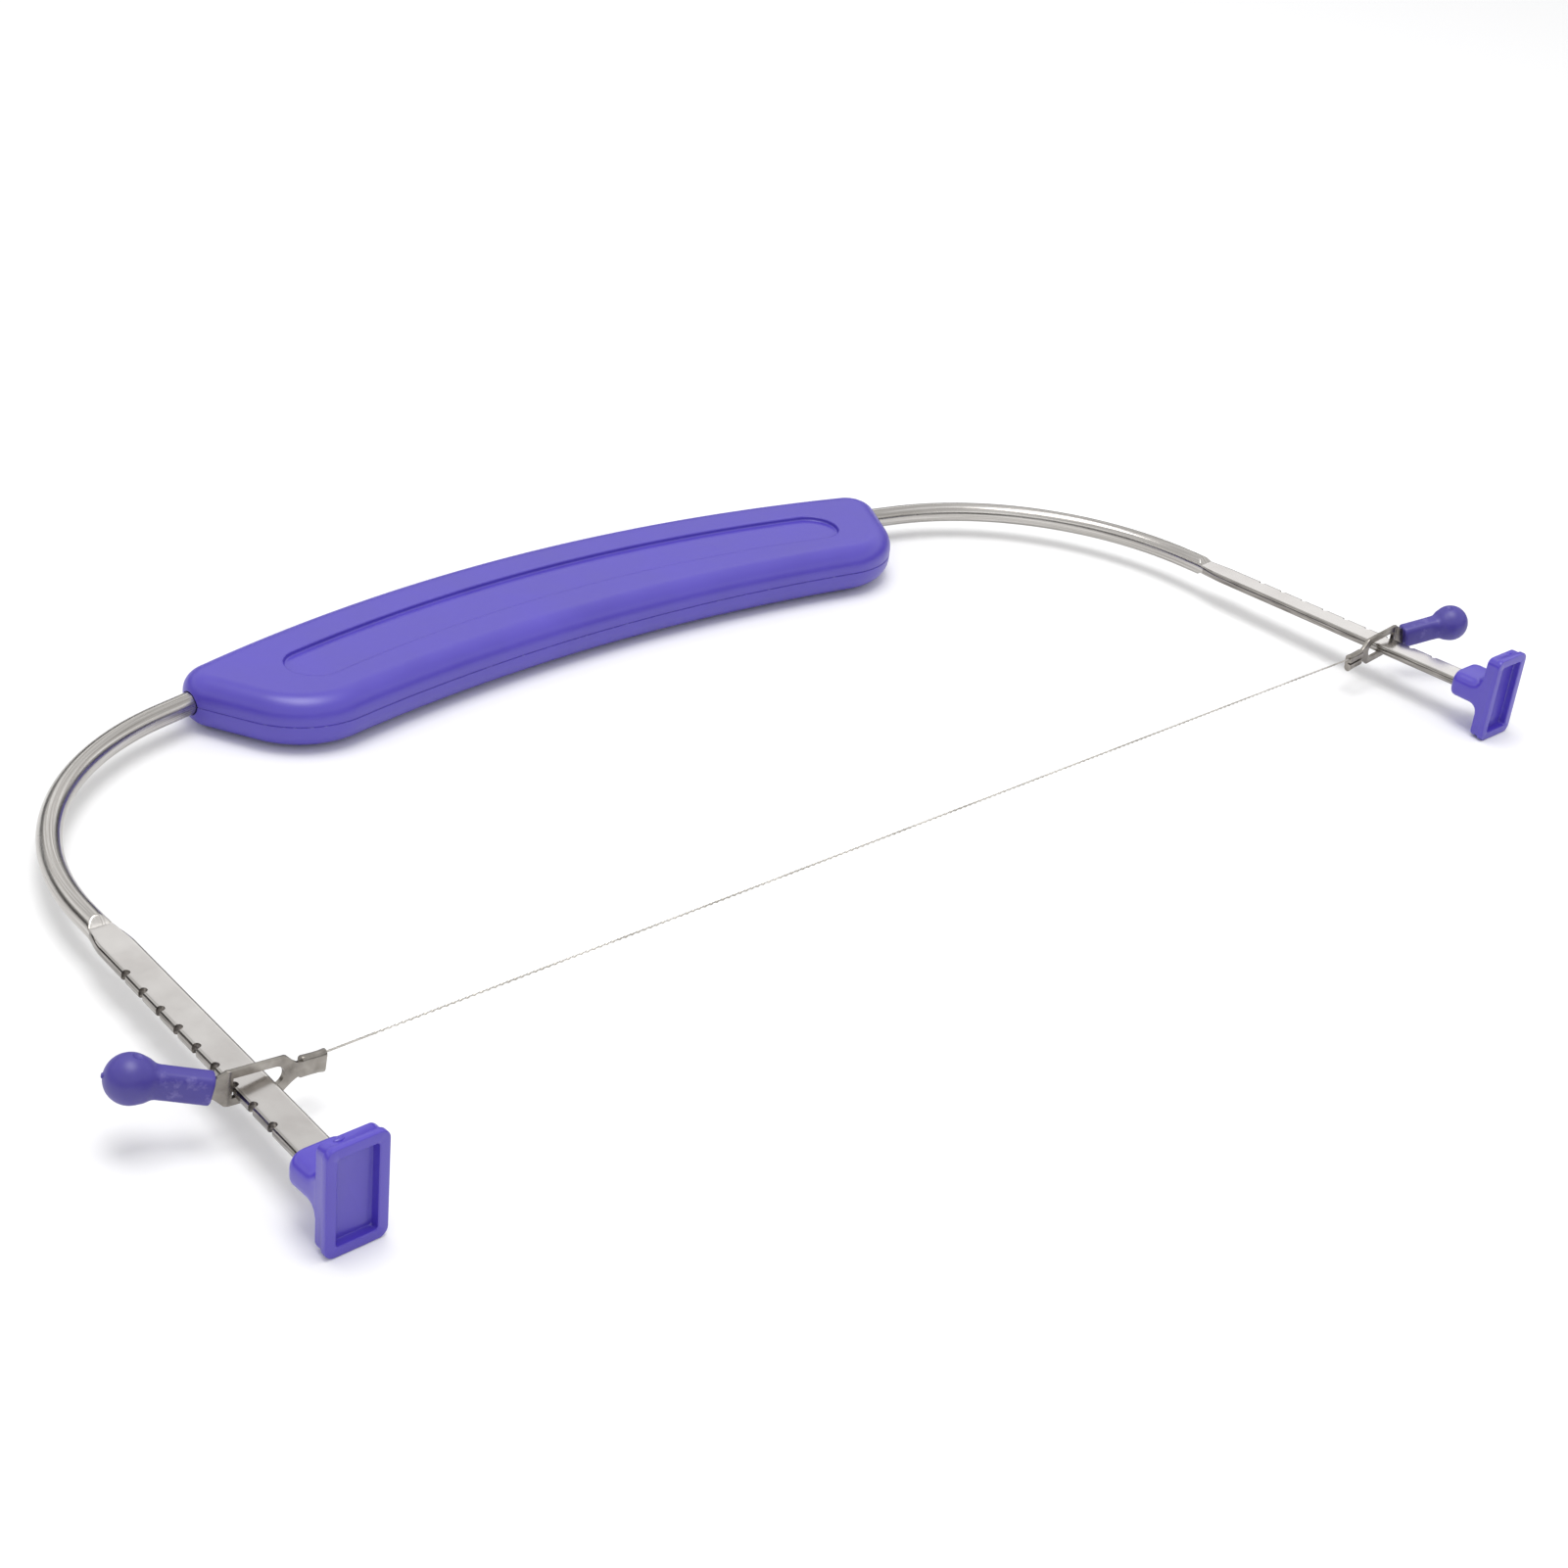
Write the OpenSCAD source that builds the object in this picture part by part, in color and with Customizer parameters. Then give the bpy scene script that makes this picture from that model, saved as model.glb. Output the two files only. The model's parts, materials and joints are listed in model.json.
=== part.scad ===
// Adjustable cake leveler: a bent steel bow with a two-shell grip and two feet.
// A fine serrated wire runs from leg to leg between two sheet-steel clips.
// Each clip hooks over a leg above one of nine notches, which set the cutting height.
// Lengths are in millimetres and angles in degrees.
// The pieces are drawn in the plane of the bow: X along the wire, Y from the feet to the grip.
// The whole is then laid on its side, resting on both feet and on the back of the grip.

/* [Bow] */
// Diameter of the round rod that the bow is bent from
rod_d = 4.4; // [3:0.1:8]
// Width of the pressed flat leg
leg_w = 6.2; // [5:0.1:10]
// Thickness of the pressed flat leg
leg_t = 1.9; // [1.2:0.1:4]
// Radius on the long edges of the flat leg
leg_edge_r = 0.4; // [0.1:0.1:0.9]
// Distance of each foot's middle from the centre line of the bow
foot_x = 147.1; // [100:0.5:220]
// Outward lean of each leg towards its foot
leg_splay = 3.6; // [0:0.1:8]
// Height above the feet where the flat leg ends and the round rod starts
leg_end_y = 80.5; // [60:0.5:140]
// Length over which the leg widens from the round rod to its full width
leg_flare = 6.5; // [2:0.5:10]
// Slope of the step that the press leaves on the round rod
press_slope = 52; // [20:1:70]
// Height above the feet where the shoulder bend starts
bend_y = 86; // [65:0.5:150]
// Radius of the shoulder bend, to the middle of the rod
shoulder_r = 58; // [30:1:90]
// Radius of the long bend through the grip, to the middle of the rod
grip_bend_r = 420; // [250:5:900]

/* [Notches] */
// Number of notches on each leg
notch_n = 9; // [3:1:12]
// Distance from notch to notch along the leg
pitch = 5.8; // [3:0.05:8]
// Height of the lowest notch above the feet
notch_low = 19.6; // [14:0.1:30]
// Width of a notch's mouth
notch_w = 1.3; // [1:0.05:3]
// Depth of a notch
notch_depth = 1.2; // [0.6:0.05:2]
// The notch that the clips stand over, counted from the feet
notch_set = 3; // [1:1:9]

/* [Grip] */
// Distance from the rod's middle out to the grip's back, at the middle of the grip
grip_back = 8.2; // [6:0.1:14]
// Radius of the grip's back
back_r = 324; // [200:1:900]
// Distance from the rod's middle in to the grip's front, at the middle of the grip
grip_front = 25; // [18:0.1:40]
// Radius of the finger side's end lobes
lobe_r = 16.9; // [12:0.1:24]
// Distance of each end lobe from the grip's middle
lobe_x = 68.8; // [50:0.5:110]
// Distance from the rod's middle in to the end lobes' centres, measured at the middle of the grip
lobe_in = 14.3; // [10:0.1:24]
// Radius of the corners where the rod comes out
corner_r = 6.6; // [5:0.1:12]
// Distance of each corner's centre from the grip's middle
corner_x = 83.2; // [60:0.5:130]
// Height of one grip shell, from the seam to its flat face
shell_h = 5.3; // [4.6:0.1:12]
// Radius round the edge of the grip's flat faces
grip_edge_r = 4.3; // [2:0.1:4.5]
// Wall of the grip shells
shell_wall = 1.6; // [1.2:0.1:2.2]
// Chamfer that makes the fine groove at the seam
seam_chamfer = 0.2; // [0.1:0.05:0.4]
// Radius of the long shallow panel on each flat face, to its middle line
panel_r = 304; // [200:1:900]
// Distance from the rod's middle in to the panel's middle line, at the middle of the grip
panel_in = 8.3; // [5:0.1:14]
// Width of the panel
panel_w = 11.6; // [6:0.1:20]
// Distance of the panel's end centres from the grip's middle
panel_x = 65.8; // [40:0.5:100]
// Depth of the panel
panel_depth = 0.8; // [0.3:0.1:1]
// Chamfer that softens the panel's lip
panel_lip = 0.4; // [0.1:0.05:0.6]
// Number of ribs with rod saddles in each shell
rib_n = 9; // [3:2:15]
// Thickness of a rib
rib_t = 1.4; // [1:0.1:2]
// Number of pins that line up the shells
pin_n = 4; // [2:2:8]
// Radius of a pin
pin_r = 1.4; // [1:0.1:2]
// Length of a pin beyond the seam
pin_reach = 1.8; // [1:0.1:2.5]

/* [Feet] */
// Width of a foot plate, along the wire
foot_w = 10.8; // [9:0.1:16]
// Length of a foot plate, across the bow
foot_h = 19.2; // [14:0.1:30]
// Depth of the front rim of a foot plate
rim_d = 1.3; // [0.8:0.1:2.5]
// Depth of a whole foot plate
foot_d = 3.3; // [2.5:0.1:6]
// Corner radius of a foot plate
foot_corner_r = 1.7; // [0.8:0.1:3]
// Step from the front rim to the back of the plate
foot_step = 0.3; // [0.1:0.05:0.6]
// Width of the rim round the recess
rim_w = 1.9; // [1.2:0.1:3]
// Depth of the recess in the working face
recess_d = 1.6; // [0.8:0.1:2.2]
// Distance from the working face to the socket's mouth
socket_y = 10.9; // [8:0.1:18]
// Height of the socket across the bow
socket_h = 5.6; // [4:0.1:10]
// Radius from the socket into the plate
socket_fillet = 2.6; // [1:0.1:4]
// Radius on the socket's mouth
mouth_r = 1.6; // [0.5:0.1:2.5]
// Distance from the working face to the leg's end
leg_start_y = 2.4; // [2:0.1:6]

/* [Clips] */
// Thickness of the clip's sheet
sheet_t = 0.8; // [0.5:0.05:1]
// Length of the slot that the leg passes through
slot_l = 9; // [7:0.1:14]
// Height of the slot
slot_h = 3.5; // [2.8:0.1:6]
// Height of the clip's body
clip_h = 6.2; // [5:0.1:9]
// Length from the slot's outer end to the bend of the neck
neck_bend_u = 0.5; // [0.3:0.1:2]
// Length of the tapered part of the neck beyond the bend
neck_taper = 2.6; // [1:0.1:4]
// Width of the neck
neck_w = 3.1; // [2:0.1:4.2]
// Length of the neck beyond the taper, inside the knob
neck_tail = 4.5; // [2:0.1:8]
// Sideways bend of the neck
neck_bend = 26; // [0:1:45]
// Length of the taper from the body to the waist
waist_taper = 2.3; // [1:0.1:4]
// Height of the waist
waist_h = 2.6; // [1.5:0.1:4]
// Length of the crimp
crimp_l = 4.3; // [3:0.1:7]
// Height of the crimp
crimp_h = 3.8; // [3:0.1:6]
// Gap between the folded edges of the crimp
crimp_gap = 0.35; // [0.2:0.05:1]
// Lean of the clip, its outer end up
clip_lean = 6.5; // [0:0.5:10]
// Rise of the clip's middle above the bow's plane, at the leg
clip_rise = 0.35; // [0:0.05:1]
// Clearance between the slot's outer end and the leg's edge
hook_gap = 0.06; // [0.02:0.01:0.3]

/* [Knobs] */
// Diameter of the knob's ball
ball_d = 7.9; // [5:0.1:14]
// Distance from the stem's end to the ball's centre
stem_l = 12; // [8:0.1:20]
// Height of the stem
stem_h = 5.2; // [3:0.1:8]
// Thickness of the stem
stem_t = 3.8; // [2.6:0.1:6]
// Corner radius of the stem
stem_r = 1.1; // [0.3:0.1:1.8]
// Rise of the knob's axis above the bow's plane
knob_rise = 15; // [0:0.5:30]
// Sideways angle of the knob's axis
knob_side = 26; // [0:0.5:45]
// Radius of the hollow neck between ball and stem
knob_neck_r = 3; // [1.5:0.1:6]
// Radius of the dimple in each side of the ball
dimple_r = 1.1; // [0.4:0.1:2]
// Depth of the dimple
dimple_d = 0.4; // [0.1:0.1:1]

/* [Wire] */
// Diameter of the plain wire ends
wire_d = 0.4; // [0.3:0.05:0.8]
// Diameter over the twisted cutting length
twist_d = 0.5; // [0.3:0.05:1]
// Length of plain wire between a crimp and the cutting length
plain_l = 9; // [2:0.5:20]
// Length of wire held in a crimp
held_l = 3.6; // [2:0.1:5]
// Clearance round the wire in a crimp
wire_gap = 0.05; // [0.02:0.01:0.1]

/* [Hidden] */
eps = 0.01;
steel = [0.76, 0.75, 0.73];
clip_steel = [0.60, 0.56, 0.52];
wire_steel = [0.70, 0.70, 0.70];
plastic = [0.42, 0.35, 0.78];
// Radial room for the rod in the grip's saddles, and for a pin in its socket
rod_gap = 0.05;
pin_gap = 0.05;
// Hairline step where two lengths of the rod or of the grip's edge meet
joint_step = 0.04;

// Leg: a line that leans by leg_splay from the middle of the foot
function leg_x(y) = foot_x - y * tan(leg_splay);
leg_len = leg_end_y / cos(leg_splay);
bend_c = [leg_x(bend_y) - shoulder_r * cos(leg_splay), bend_y - shoulder_r * sin(leg_splay)];
// The long bend is tangent to both shoulder bends
grip_c_y = bend_c[1] - sqrt(pow(grip_bend_r - shoulder_r, 2) - pow(bend_c[0], 2));
grip_half = asin(bend_c[0] / (grip_bend_r - shoulder_r));

// Heights above the feet, at the middle of the grip, measured from the rod that runs through it
rod_y = grip_c_y + grip_bend_r;
back_y = rod_y + grip_back;
front_y = rod_y - grip_front;
lobe_y = rod_y - lobe_in;
panel_y = rod_y - panel_in;
// Grip outline: back arc, corner, straight end, lobe and front arc, each tangent to the next
back_c = back_y - back_r;
corner_y = back_c + sqrt(pow(back_r - corner_r, 2) - pow(corner_x, 2));
back_half = atan2(corner_x, corner_y - back_c);
lobe_dy = lobe_y - front_y;
front_r = (lobe_dy * lobe_dy + lobe_x * lobe_x - lobe_r * lobe_r) / (2 * (lobe_r - lobe_dy));
front_c = front_y - front_r;
front_half = atan2(lobe_x, lobe_y - front_c);
end_l = norm([corner_x - lobe_x, corner_y - lobe_y]);
end_angle = atan2(corner_y - lobe_y, corner_x - lobe_x) + asin((lobe_r - corner_r) / end_l);
end_run = sqrt(end_l * end_l - pow(lobe_r - corner_r, 2));
rib_top = shell_h - shell_wall - panel_depth + 0.3;
rib_spread = front_half * 0.86;
pin_spread = rib_spread * 0.875;

// The plane that carries the laid-down part touches the foot rims and the grip's back edge
rest_a = foot_h / 2 - (shell_h - grip_edge_r);
rest_b = back_y - grip_edge_r - rim_d;
lay = acos(grip_edge_r / norm([rest_a, rest_b])) - atan2(rest_b, rest_a);
lift = rim_d * sin(lay) + foot_h / 2 * cos(lay);
low_y = -foot_h / 2 * sin(lay);
high_y = (back_y - grip_edge_r) * cos(lay) + (shell_h - grip_edge_r) * sin(lay) + grip_edge_r;
mid_y = (low_y + high_y) / 2;

// Clips: the slot's outer end stands hook_gap outside the leg's edge, over the set notch
set_y = notch_low + (notch_set - 1) * pitch * cos(leg_splay);
edge_x = leg_x(set_y) + leg_w / 2 / cos(leg_splay);
hook_x = edge_x + hook_gap + sheet_t / 2 * tan(leg_splay);
hook_z = clip_rise + (hook_x - leg_x(set_y)) * tan(clip_lean);
wire_side = sheet_t / 2 + wire_gap + wire_d / 2;
crimp_u = slot_l + waist_taper + 0.9;
crimp_out_x = hook_x - crimp_u * cos(clip_lean);
crimp_in_x = hook_x - (crimp_u + crimp_l) * cos(clip_lean);
wire_end_x = crimp_in_x + held_l;
cut_x = crimp_in_x - plain_l;
wire_skew = atan2(wire_side, wire_end_x);

// Knob: the hollow neck is tangent to the ball and to a round core inside the stem
core_r = stem_h / 2 - 0.25;
neck_run = sqrt(pow(ball_d / 2 + knob_neck_r, 2) - pow(core_r + knob_neck_r, 2));
neck_turn = atan2(neck_run, core_r + knob_neck_r);

// Lays a piece that is drawn in the bow's plane down on its side
module laid() {
    translate([0, -mid_y, lift])
        rotate([-lay, 0, 0])
            children();
}

// Repeats a piece of the right side on the left, as its mirror image
module both_sides() {
    children();
    mirror([1, 0, 0])
        children();
}

// The long bend of the bow's round rod, through the grip
module long_bend(d) {
    translate([0, grip_c_y, 0])
        rotate([0, 0, 90 - grip_half])
            rotate_extrude(angle = 2 * grip_half, $fn = 300)
                translate([grip_bend_r, 0])
                    circle(d = d, $fn = 24);
}

// Thin sleeve that closes the hairline joint where two lengths of rod meet, at the origin along Y
module rod_joint() {
    rotate([90, 0, 0])
        cylinder(d = rod_d + joint_step, h = 0.6, center = true, $fn = 24);
}

// One shoulder bend, with its joints to the long bend and to the leg
module shoulder() {
    translate([bend_c[0], bend_c[1], 0]) {
        rotate([0, 0, leg_splay])
            rotate_extrude(angle = 90 - grip_half - leg_splay, $fn = 120)
                translate([shoulder_r, 0])
                    circle(d = rod_d, $fn = 24);
        for (a = [leg_splay, 90 - grip_half])
            rotate([0, 0, a])
                translate([shoulder_r, 0, 0])
                    rod_joint();
    }
}

// Half width of the flare, from the flat leg at t = 0 to the rod at t = 1
function flare_at(t) = rod_d / 2 - 0.4 + (leg_w / 2 - rod_d / 2 + 0.4) * (1 + cos(180 * t)) / 2;

// Frame of one leg: the origin is the middle of the foot's face and Y runs up the leg
module leg_frame() {
    translate([foot_x, 0, 0])
        rotate([0, 0, leg_splay])
            children();
}

// Flat bar with rounded long edges, along Y
module flat_bar(w, t, r, l) {
    rotate([-90, 0, 0])
        linear_extrude(l) {
            square([w - 2 * r, t], center = true);
            square([w, t - 2 * r], center = true);
            for (x = [-1, 1], y = [-1, 1])
                translate([x * (w / 2 - r), y * (t / 2 - r)])
                    circle(r = r, $fn = 16);
        }
}

// One notch, its mouth at the origin on the leg's outer edge, cut towards -X
module notch() {
    neck = notch_depth - notch_w * 0.55;
    translate([-neck, -notch_w / 2, -leg_t])
        cube([neck + 1, notch_w, 2 * leg_t]);
    translate([-neck, 0, -leg_t])
        cylinder(r = notch_w * 0.55, h = 2 * leg_t, $fn = 20);
}

// Pressed leg: straight flat bar, flare up to the rod, and the steps that the press leaves
module flat_leg() {
    start = leg_start_y / cos(leg_splay);
    full = leg_len - leg_flare;
    difference() {
        union() {
            translate([0, start, 0])
                flat_bar(leg_w, leg_t, leg_edge_r, full - start);
            translate([0, 0, -leg_t / 2])
                linear_extrude(leg_t)
                    polygon(concat(
                        [for (i = [0 : 8]) [flare_at(i / 8), full + (leg_flare + 1.5) * i / 8]],
                        [for (i = [8 : -1 : 0]) [-flare_at(i / 8), full + (leg_flare + 1.5) * i / 8]],
                        [[-leg_w / 2, full - 0.5], [leg_w / 2, full - 0.5]]));
        }
        for (i = [0 : notch_n - 1])
            translate([leg_w / 2, notch_low / cos(leg_splay) + i * pitch, 0])
                notch();
    }
    difference() {
        translate([0, leg_len - 0.5, 0])
            rotate([-90, 0, 0])
                cylinder(d = rod_d, h = bend_y / cos(leg_splay) - leg_len + 0.5, $fn = 24);
        for (s = [-1, 1])
            translate([0, leg_len - 0.5, s * leg_t / 2])
                rotate([-s * press_slope, 0, 0])
                    translate([-rod_d, -rod_d, -rod_d])
                        cube([2 * rod_d, rod_d, 2 * rod_d]);
    }
}

// Steel bow: one rod, bent, with both legs pressed flat and notched
module frame_rod() {
    color(steel)
        laid() {
            long_bend(rod_d);
            both_sides() {
                shoulder();
                leg_frame()
                    flat_leg();
            }
        }
}

// Section of the grip's edge: the wall stands at x = 0 and the solid lies towards -x
module edge_section(h, r, w, chamfer) {
    difference() {
        union() {
            translate([-w, 0])
                square([w, h - r]);
            translate([-w, 0])
                square([w - r, h]);
            intersection() {
                translate([-r, h - r])
                    circle(r = r, $fn = 32);
                translate([-r, 0])
                    square([r, h]);
            }
        }
        if (chamfer > 0)
            rotate([0, 0, 45])
                square(chamfer * sqrt(2), center = true);
    }
}

// Sweeps the edge section over the middle of the grip, by half an angle to each side
module edge_arc(centre_y, half) {
    translate([0, centre_y, 0])
        rotate([0, 0, 90 - half])
            rotate_extrude(angle = 2 * half, $fn = 240)
                children();
}

// Lobe of the grip, with the same edge, as far round as it shows and a little more
module edge_lobe(d, h, r, chamfer) {
    radius = lobe_r - d - joint_step;
    translate([lobe_x, lobe_y, 0])
        rotate([0, 0, -100 - front_half])
            rotate_extrude(angle = end_angle + front_half + 20, $fn = 64)
                intersection() {
                    translate([radius, 0])
                        edge_section(h - joint_step / 2, r, radius + 1, chamfer);
                    square([radius + 1, h + 1]);
                }
}

// Corner of the grip: its edge radius is more than half its own, so it is turned from short straight steps
module edge_corner(d, h, r, chamfer) {
    radius = corner_r - d - joint_step;
    top = h - joint_step / 2;
    c = max(chamfer, 0.02);
    translate([corner_x, corner_y, 0])
        rotate_extrude($fn = 48)
            polygon(concat([[0, 0], [radius - c, 0], [radius, c]],
                [for (i = [0 : 10]) [radius - r + r * cos(9 * i), top - r + r * sin(9 * i)]],
                [[0, top]]));
}

// Half of the grip's solid above the seam, inset by d all round and h high
module grip_form(d, h, chamfer) {
    r = max(grip_edge_r - d, 0.6);
    reach = lobe_r + 2 - d;
    edge_arc(back_c, back_half)
        translate([back_r - d, 0])
            edge_section(h, r, reach, chamfer);
    edge_arc(front_c, front_half)
        translate([front_r + d, 0])
            mirror([1, 0])
                edge_section(h, r, reach, chamfer);
    both_sides() {
        edge_lobe(d, h, r, chamfer);
        edge_corner(d, h, r, chamfer);
        // straight end between the lobe and the corner
        translate([lobe_x, lobe_y, 0])
            rotate([0, 0, end_angle])
                translate([0, -(lobe_r - d), 0])
                    rotate([90, 0, 90])
                        linear_extrude(end_run)
                            mirror([1, 0])
                                edge_section(h, r, corner_r + 6 - d, chamfer);
    }
}

// Half section of the panel's cut, from its middle line out: floor, wall and chamfered lip
module panel_half(w) {
    polygon([[0, 0], [w, 0], [w, panel_depth - panel_lip],
        [w + panel_lip + 1, panel_depth + 1], [0, panel_depth + 1]]);
}

// Long shallow panel, cut down from the flat face
module panel_cut() {
    half = asin(panel_x / panel_r);
    translate([0, panel_y - panel_r, shell_h - panel_depth]) {
        rotate([0, 0, 90 - half])
            rotate_extrude(angle = 2 * half, $fn = 240)
                translate([panel_r, 0]) {
                    panel_half(panel_w / 2);
                    mirror([1, 0])
                        panel_half(panel_w / 2);
                }
        for (s = [-1, 1])
            rotate([0, 0, 90 + s * half])
                translate([panel_r, 0, 0])
                    rotate_extrude($fn = 48)
                        panel_half(panel_w / 2);
    }
}

// Distance from the long bend's centre to the grip's back or front edge, at an angle a from its middle
function back_at(a) = (back_c - grip_c_y) * cos(a) + sqrt(pow(back_r, 2) - pow((back_c - grip_c_y) * sin(a), 2));
function front_at(a) = (front_c - grip_c_y) * cos(a) + sqrt(pow(front_r, 2) - pow((front_c - grip_c_y) * sin(a), 2));

// One rib, across the grip at an angle a from its middle, its ends and top sunk in the shell
module rib(a) {
    low = front_at(a) + shell_wall / 2;
    translate([0, grip_c_y, 0])
        rotate([0, 0, a])
            translate([-rib_t / 2, low, 0])
                cube([rib_t, back_at(a) - shell_wall / 2 - low, rib_top]);
}

// Places of the pins, on the finger side of the rod, midway between ribs
module pin_places() {
    for (i = [0 : pin_n - 1])
        translate([0, grip_c_y, 0])
            rotate([0, 0, pin_spread * (1 - 2 * i / (pin_n - 1))])
                translate([0, grip_bend_r - 13.5, 0])
                    children();
}

// One grip shell above the seam: walls, ribs with half-round saddles, and room for the rod
module grip_shell(pins) {
    difference() {
        union() {
            difference() {
                grip_form(0, shell_h, seam_chamfer);
                translate([0, 0, -eps])
                    grip_form(shell_wall, shell_h - shell_wall - panel_depth + eps, 0);
            }
            for (i = [0 : rib_n - 1])
                rib(rib_spread * (1 - 2 * i / (rib_n - 1)));
            pin_places()
                cylinder(r = pins ? pin_r : pin_r + 1.3, h = rib_top + 0.1, $fn = 32);
        }
        long_bend(rod_d + 2 * rod_gap);
        panel_cut();
        if (!pins)
            pin_places()
                translate([0, 0, -eps])
                    cylinder(r = pin_r + pin_gap, h = pin_reach + 0.4, $fn = 32);
    }
    if (pins)
        pin_places()
            translate([0, 0, -pin_reach])
                cylinder(r = pin_r, h = pin_reach + 1, $fn = 32);
}

module handle_top_shell() {
    color(plastic)
        laid()
            grip_shell(false);
}

module handle_bottom_shell() {
    color(plastic)
        laid()
            mirror([0, 0, 1])
                grip_shell(true);
}

// Rectangle with round corners
module round_rect(w, h, r) {
    square([w - 2 * r, h], center = true);
    square([w, h - 2 * r], center = true);
    for (x = [-1, 1], y = [-1, 1])
        translate([x * (w / 2 - r), y * (h / 2 - r)])
            circle(r = r, $fn = 32);
}

// Plate of a foot from depth y0 to y1, stood up across the bow
module foot_slab(w, h, r, y0, y1) {
    translate([0, y1, 0])
        rotate([90, 0, 0])
            linear_extrude(y1 - y0)
                round_rect(w, h, r);
}

// Side view of the socket: its stem, and fillets that run out into the plate
module socket_side() {
    f = socket_fillet;
    translate([foot_d - 0.5, -socket_h / 2])
        square([socket_y - foot_d + 0.5, socket_h]);
    difference() {
        translate([foot_d - 0.5, -socket_h / 2 - f])
            square([f + 0.5, socket_h + 2 * f]);
        for (s = [-1, 1])
            translate([foot_d + f, s * (socket_h / 2 + f)])
                circle(r = f, $fn = 48);
    }
}

// Right foot, the origin in the middle of its working face
module foot_solid() {
    back_w = foot_w - 2 * foot_step;
    difference() {
        union() {
            foot_slab(foot_w, foot_h, foot_corner_r, 0, rim_d);
            foot_slab(back_w, foot_h - 2 * foot_step, foot_corner_r, rim_d - eps, foot_d);
            intersection() {
                translate([-back_w / 2, 0, 0])
                    rotate([90, 0, 90])
                        linear_extrude(back_w)
                            socket_side();
                // rounded mouth, seen from above
                translate([0, socket_y / 2, -foot_h / 2])
                    linear_extrude(foot_h)
                        round_rect(back_w, socket_y, mouth_r);
            }
        }
        foot_slab(foot_w - 2 * rim_w, foot_h - 2 * rim_w, 0.6, -eps, recess_d);
    }
}

// The foot with its pocket for the leg's end
module foot_piece() {
    difference() {
        translate([foot_x, 0, 0])
            foot_solid();
        leg_frame()
            translate([0, leg_start_y / cos(leg_splay), 0])
                flat_bar(leg_w, leg_t, leg_edge_r, socket_y);
    }
}

module right_foot() {
    color(plastic)
        laid()
            foot_piece();
}

module left_foot() {
    color(plastic)
        laid()
            mirror([1, 0, 0])
                foot_piece();
}

// Frame of the right clip: the origin is the slot's outer end and X runs outwards
module clip_frame() {
    translate([hook_x, set_y, hook_z])
        rotate([0, -clip_lean, 0])
            children();
}

// Frame of the neck beyond its bend
module neck_frame() {
    clip_frame()
        translate([neck_bend_u, 0, 0])
            rotate([0, 0, -neck_bend])
                children();
}

// Stands a flat outline up as sheet in the X-Z plane, centred on Y
module sheet() {
    rotate([90, 0, 0])
        translate([0, 0, -sheet_t / 2])
            linear_extrude(sheet_t)
                children();
}

// The neck beyond the bend
module neck_sheet() {
    h = clip_h / 2;
    neck_frame() {
        sheet()
            polygon([[0, -h], [0.3, -h], [neck_taper, -neck_w / 2],
                [neck_taper + neck_tail, -neck_w / 2], [neck_taper + neck_tail, neck_w / 2],
                [neck_taper, neck_w / 2], [0.3, h], [0, h]]);
        translate([0, 0, -h])
            cylinder(d = sheet_t, h = clip_h, $fn = 32);
    }
}

// Flat outline of the clip from the bend of the neck to the end of the crimp
module clip_outline() {
    h = clip_h / 2;
    polygon([[neck_bend_u, -h], [neck_bend_u, h], [-slot_l - 0.1, h],
        [-slot_l - waist_taper, waist_h / 2], [-crimp_u - 0.5, waist_h / 2], [-crimp_u - 0.5, -waist_h / 2],
        [-slot_l - waist_taper, -waist_h / 2], [-slot_l - 0.1, -h]]);
}

// Slot: square outer end that bears on the leg, round inner end
module slot_outline() {
    translate([-slot_l + slot_h / 2, -slot_h / 2])
        square([slot_l - slot_h / 2, slot_h]);
    translate([-slot_l + slot_h / 2, 0])
        circle(d = slot_h, $fn = 48);
}

// Crimp: both edges of the tab are folded over the wire and pressed flat, on the side that faces -Y
module crimp_fold() {
    bend = crimp_h / 2 - sheet_t;
    translate([-crimp_u - crimp_l, 0, 0])
        rotate([90, 0, 90])
            linear_extrude(crimp_l) {
                translate([-sheet_t / 2, -bend])
                    square([sheet_t, 2 * bend]);
                for (s = [-1, 1]) {
                    translate([-sheet_t / 2, s * bend])
                        circle(r = sheet_t, $fn = 32);
                    translate([-1.5 * sheet_t, s > 0 ? crimp_gap / 2 : -bend])
                        square([1.2 * sheet_t, bend - crimp_gap / 2]);
                }
            }
}

// Path of the wire through the crimp, straight and level, with room for the splay of the legs
module wire_bore() {
    translate([0, set_y, 0])
        rotate([0, 0, -wire_skew])
            rotate([0, 90, 0])
                cylinder(d = wire_d + 2 * wire_gap, h = hook_x, $fn = 24);
}

// Right clip: bent neck, slotted body and crimp
module clip_piece() {
    difference() {
        union() {
            clip_frame()
                sheet()
                    difference() {
                        clip_outline();
                        slot_outline();
                    }
            neck_sheet();
            clip_frame()
                crimp_fold();
        }
        wire_bore();
    }
}

// Left-hand pieces are the same parts, turned half round about the bow's own normal
module turned() {
    rotate([0, 0, 180])
        translate([0, -2 * set_y, 0])
            children();
}

module right_clip() {
    color(clip_steel)
        laid()
            clip_piece();
}

module left_clip() {
    color(clip_steel)
        laid()
            turned()
                clip_piece();
}

// Frame of the knob: the origin is the middle of the stem's end and X runs to the ball
module knob_frame() {
    neck_frame()
        translate([neck_taper - 0.3, 0, 0])
            rotate([0, -(knob_rise - clip_lean), neck_bend - knob_side])
                children();
}

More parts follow.
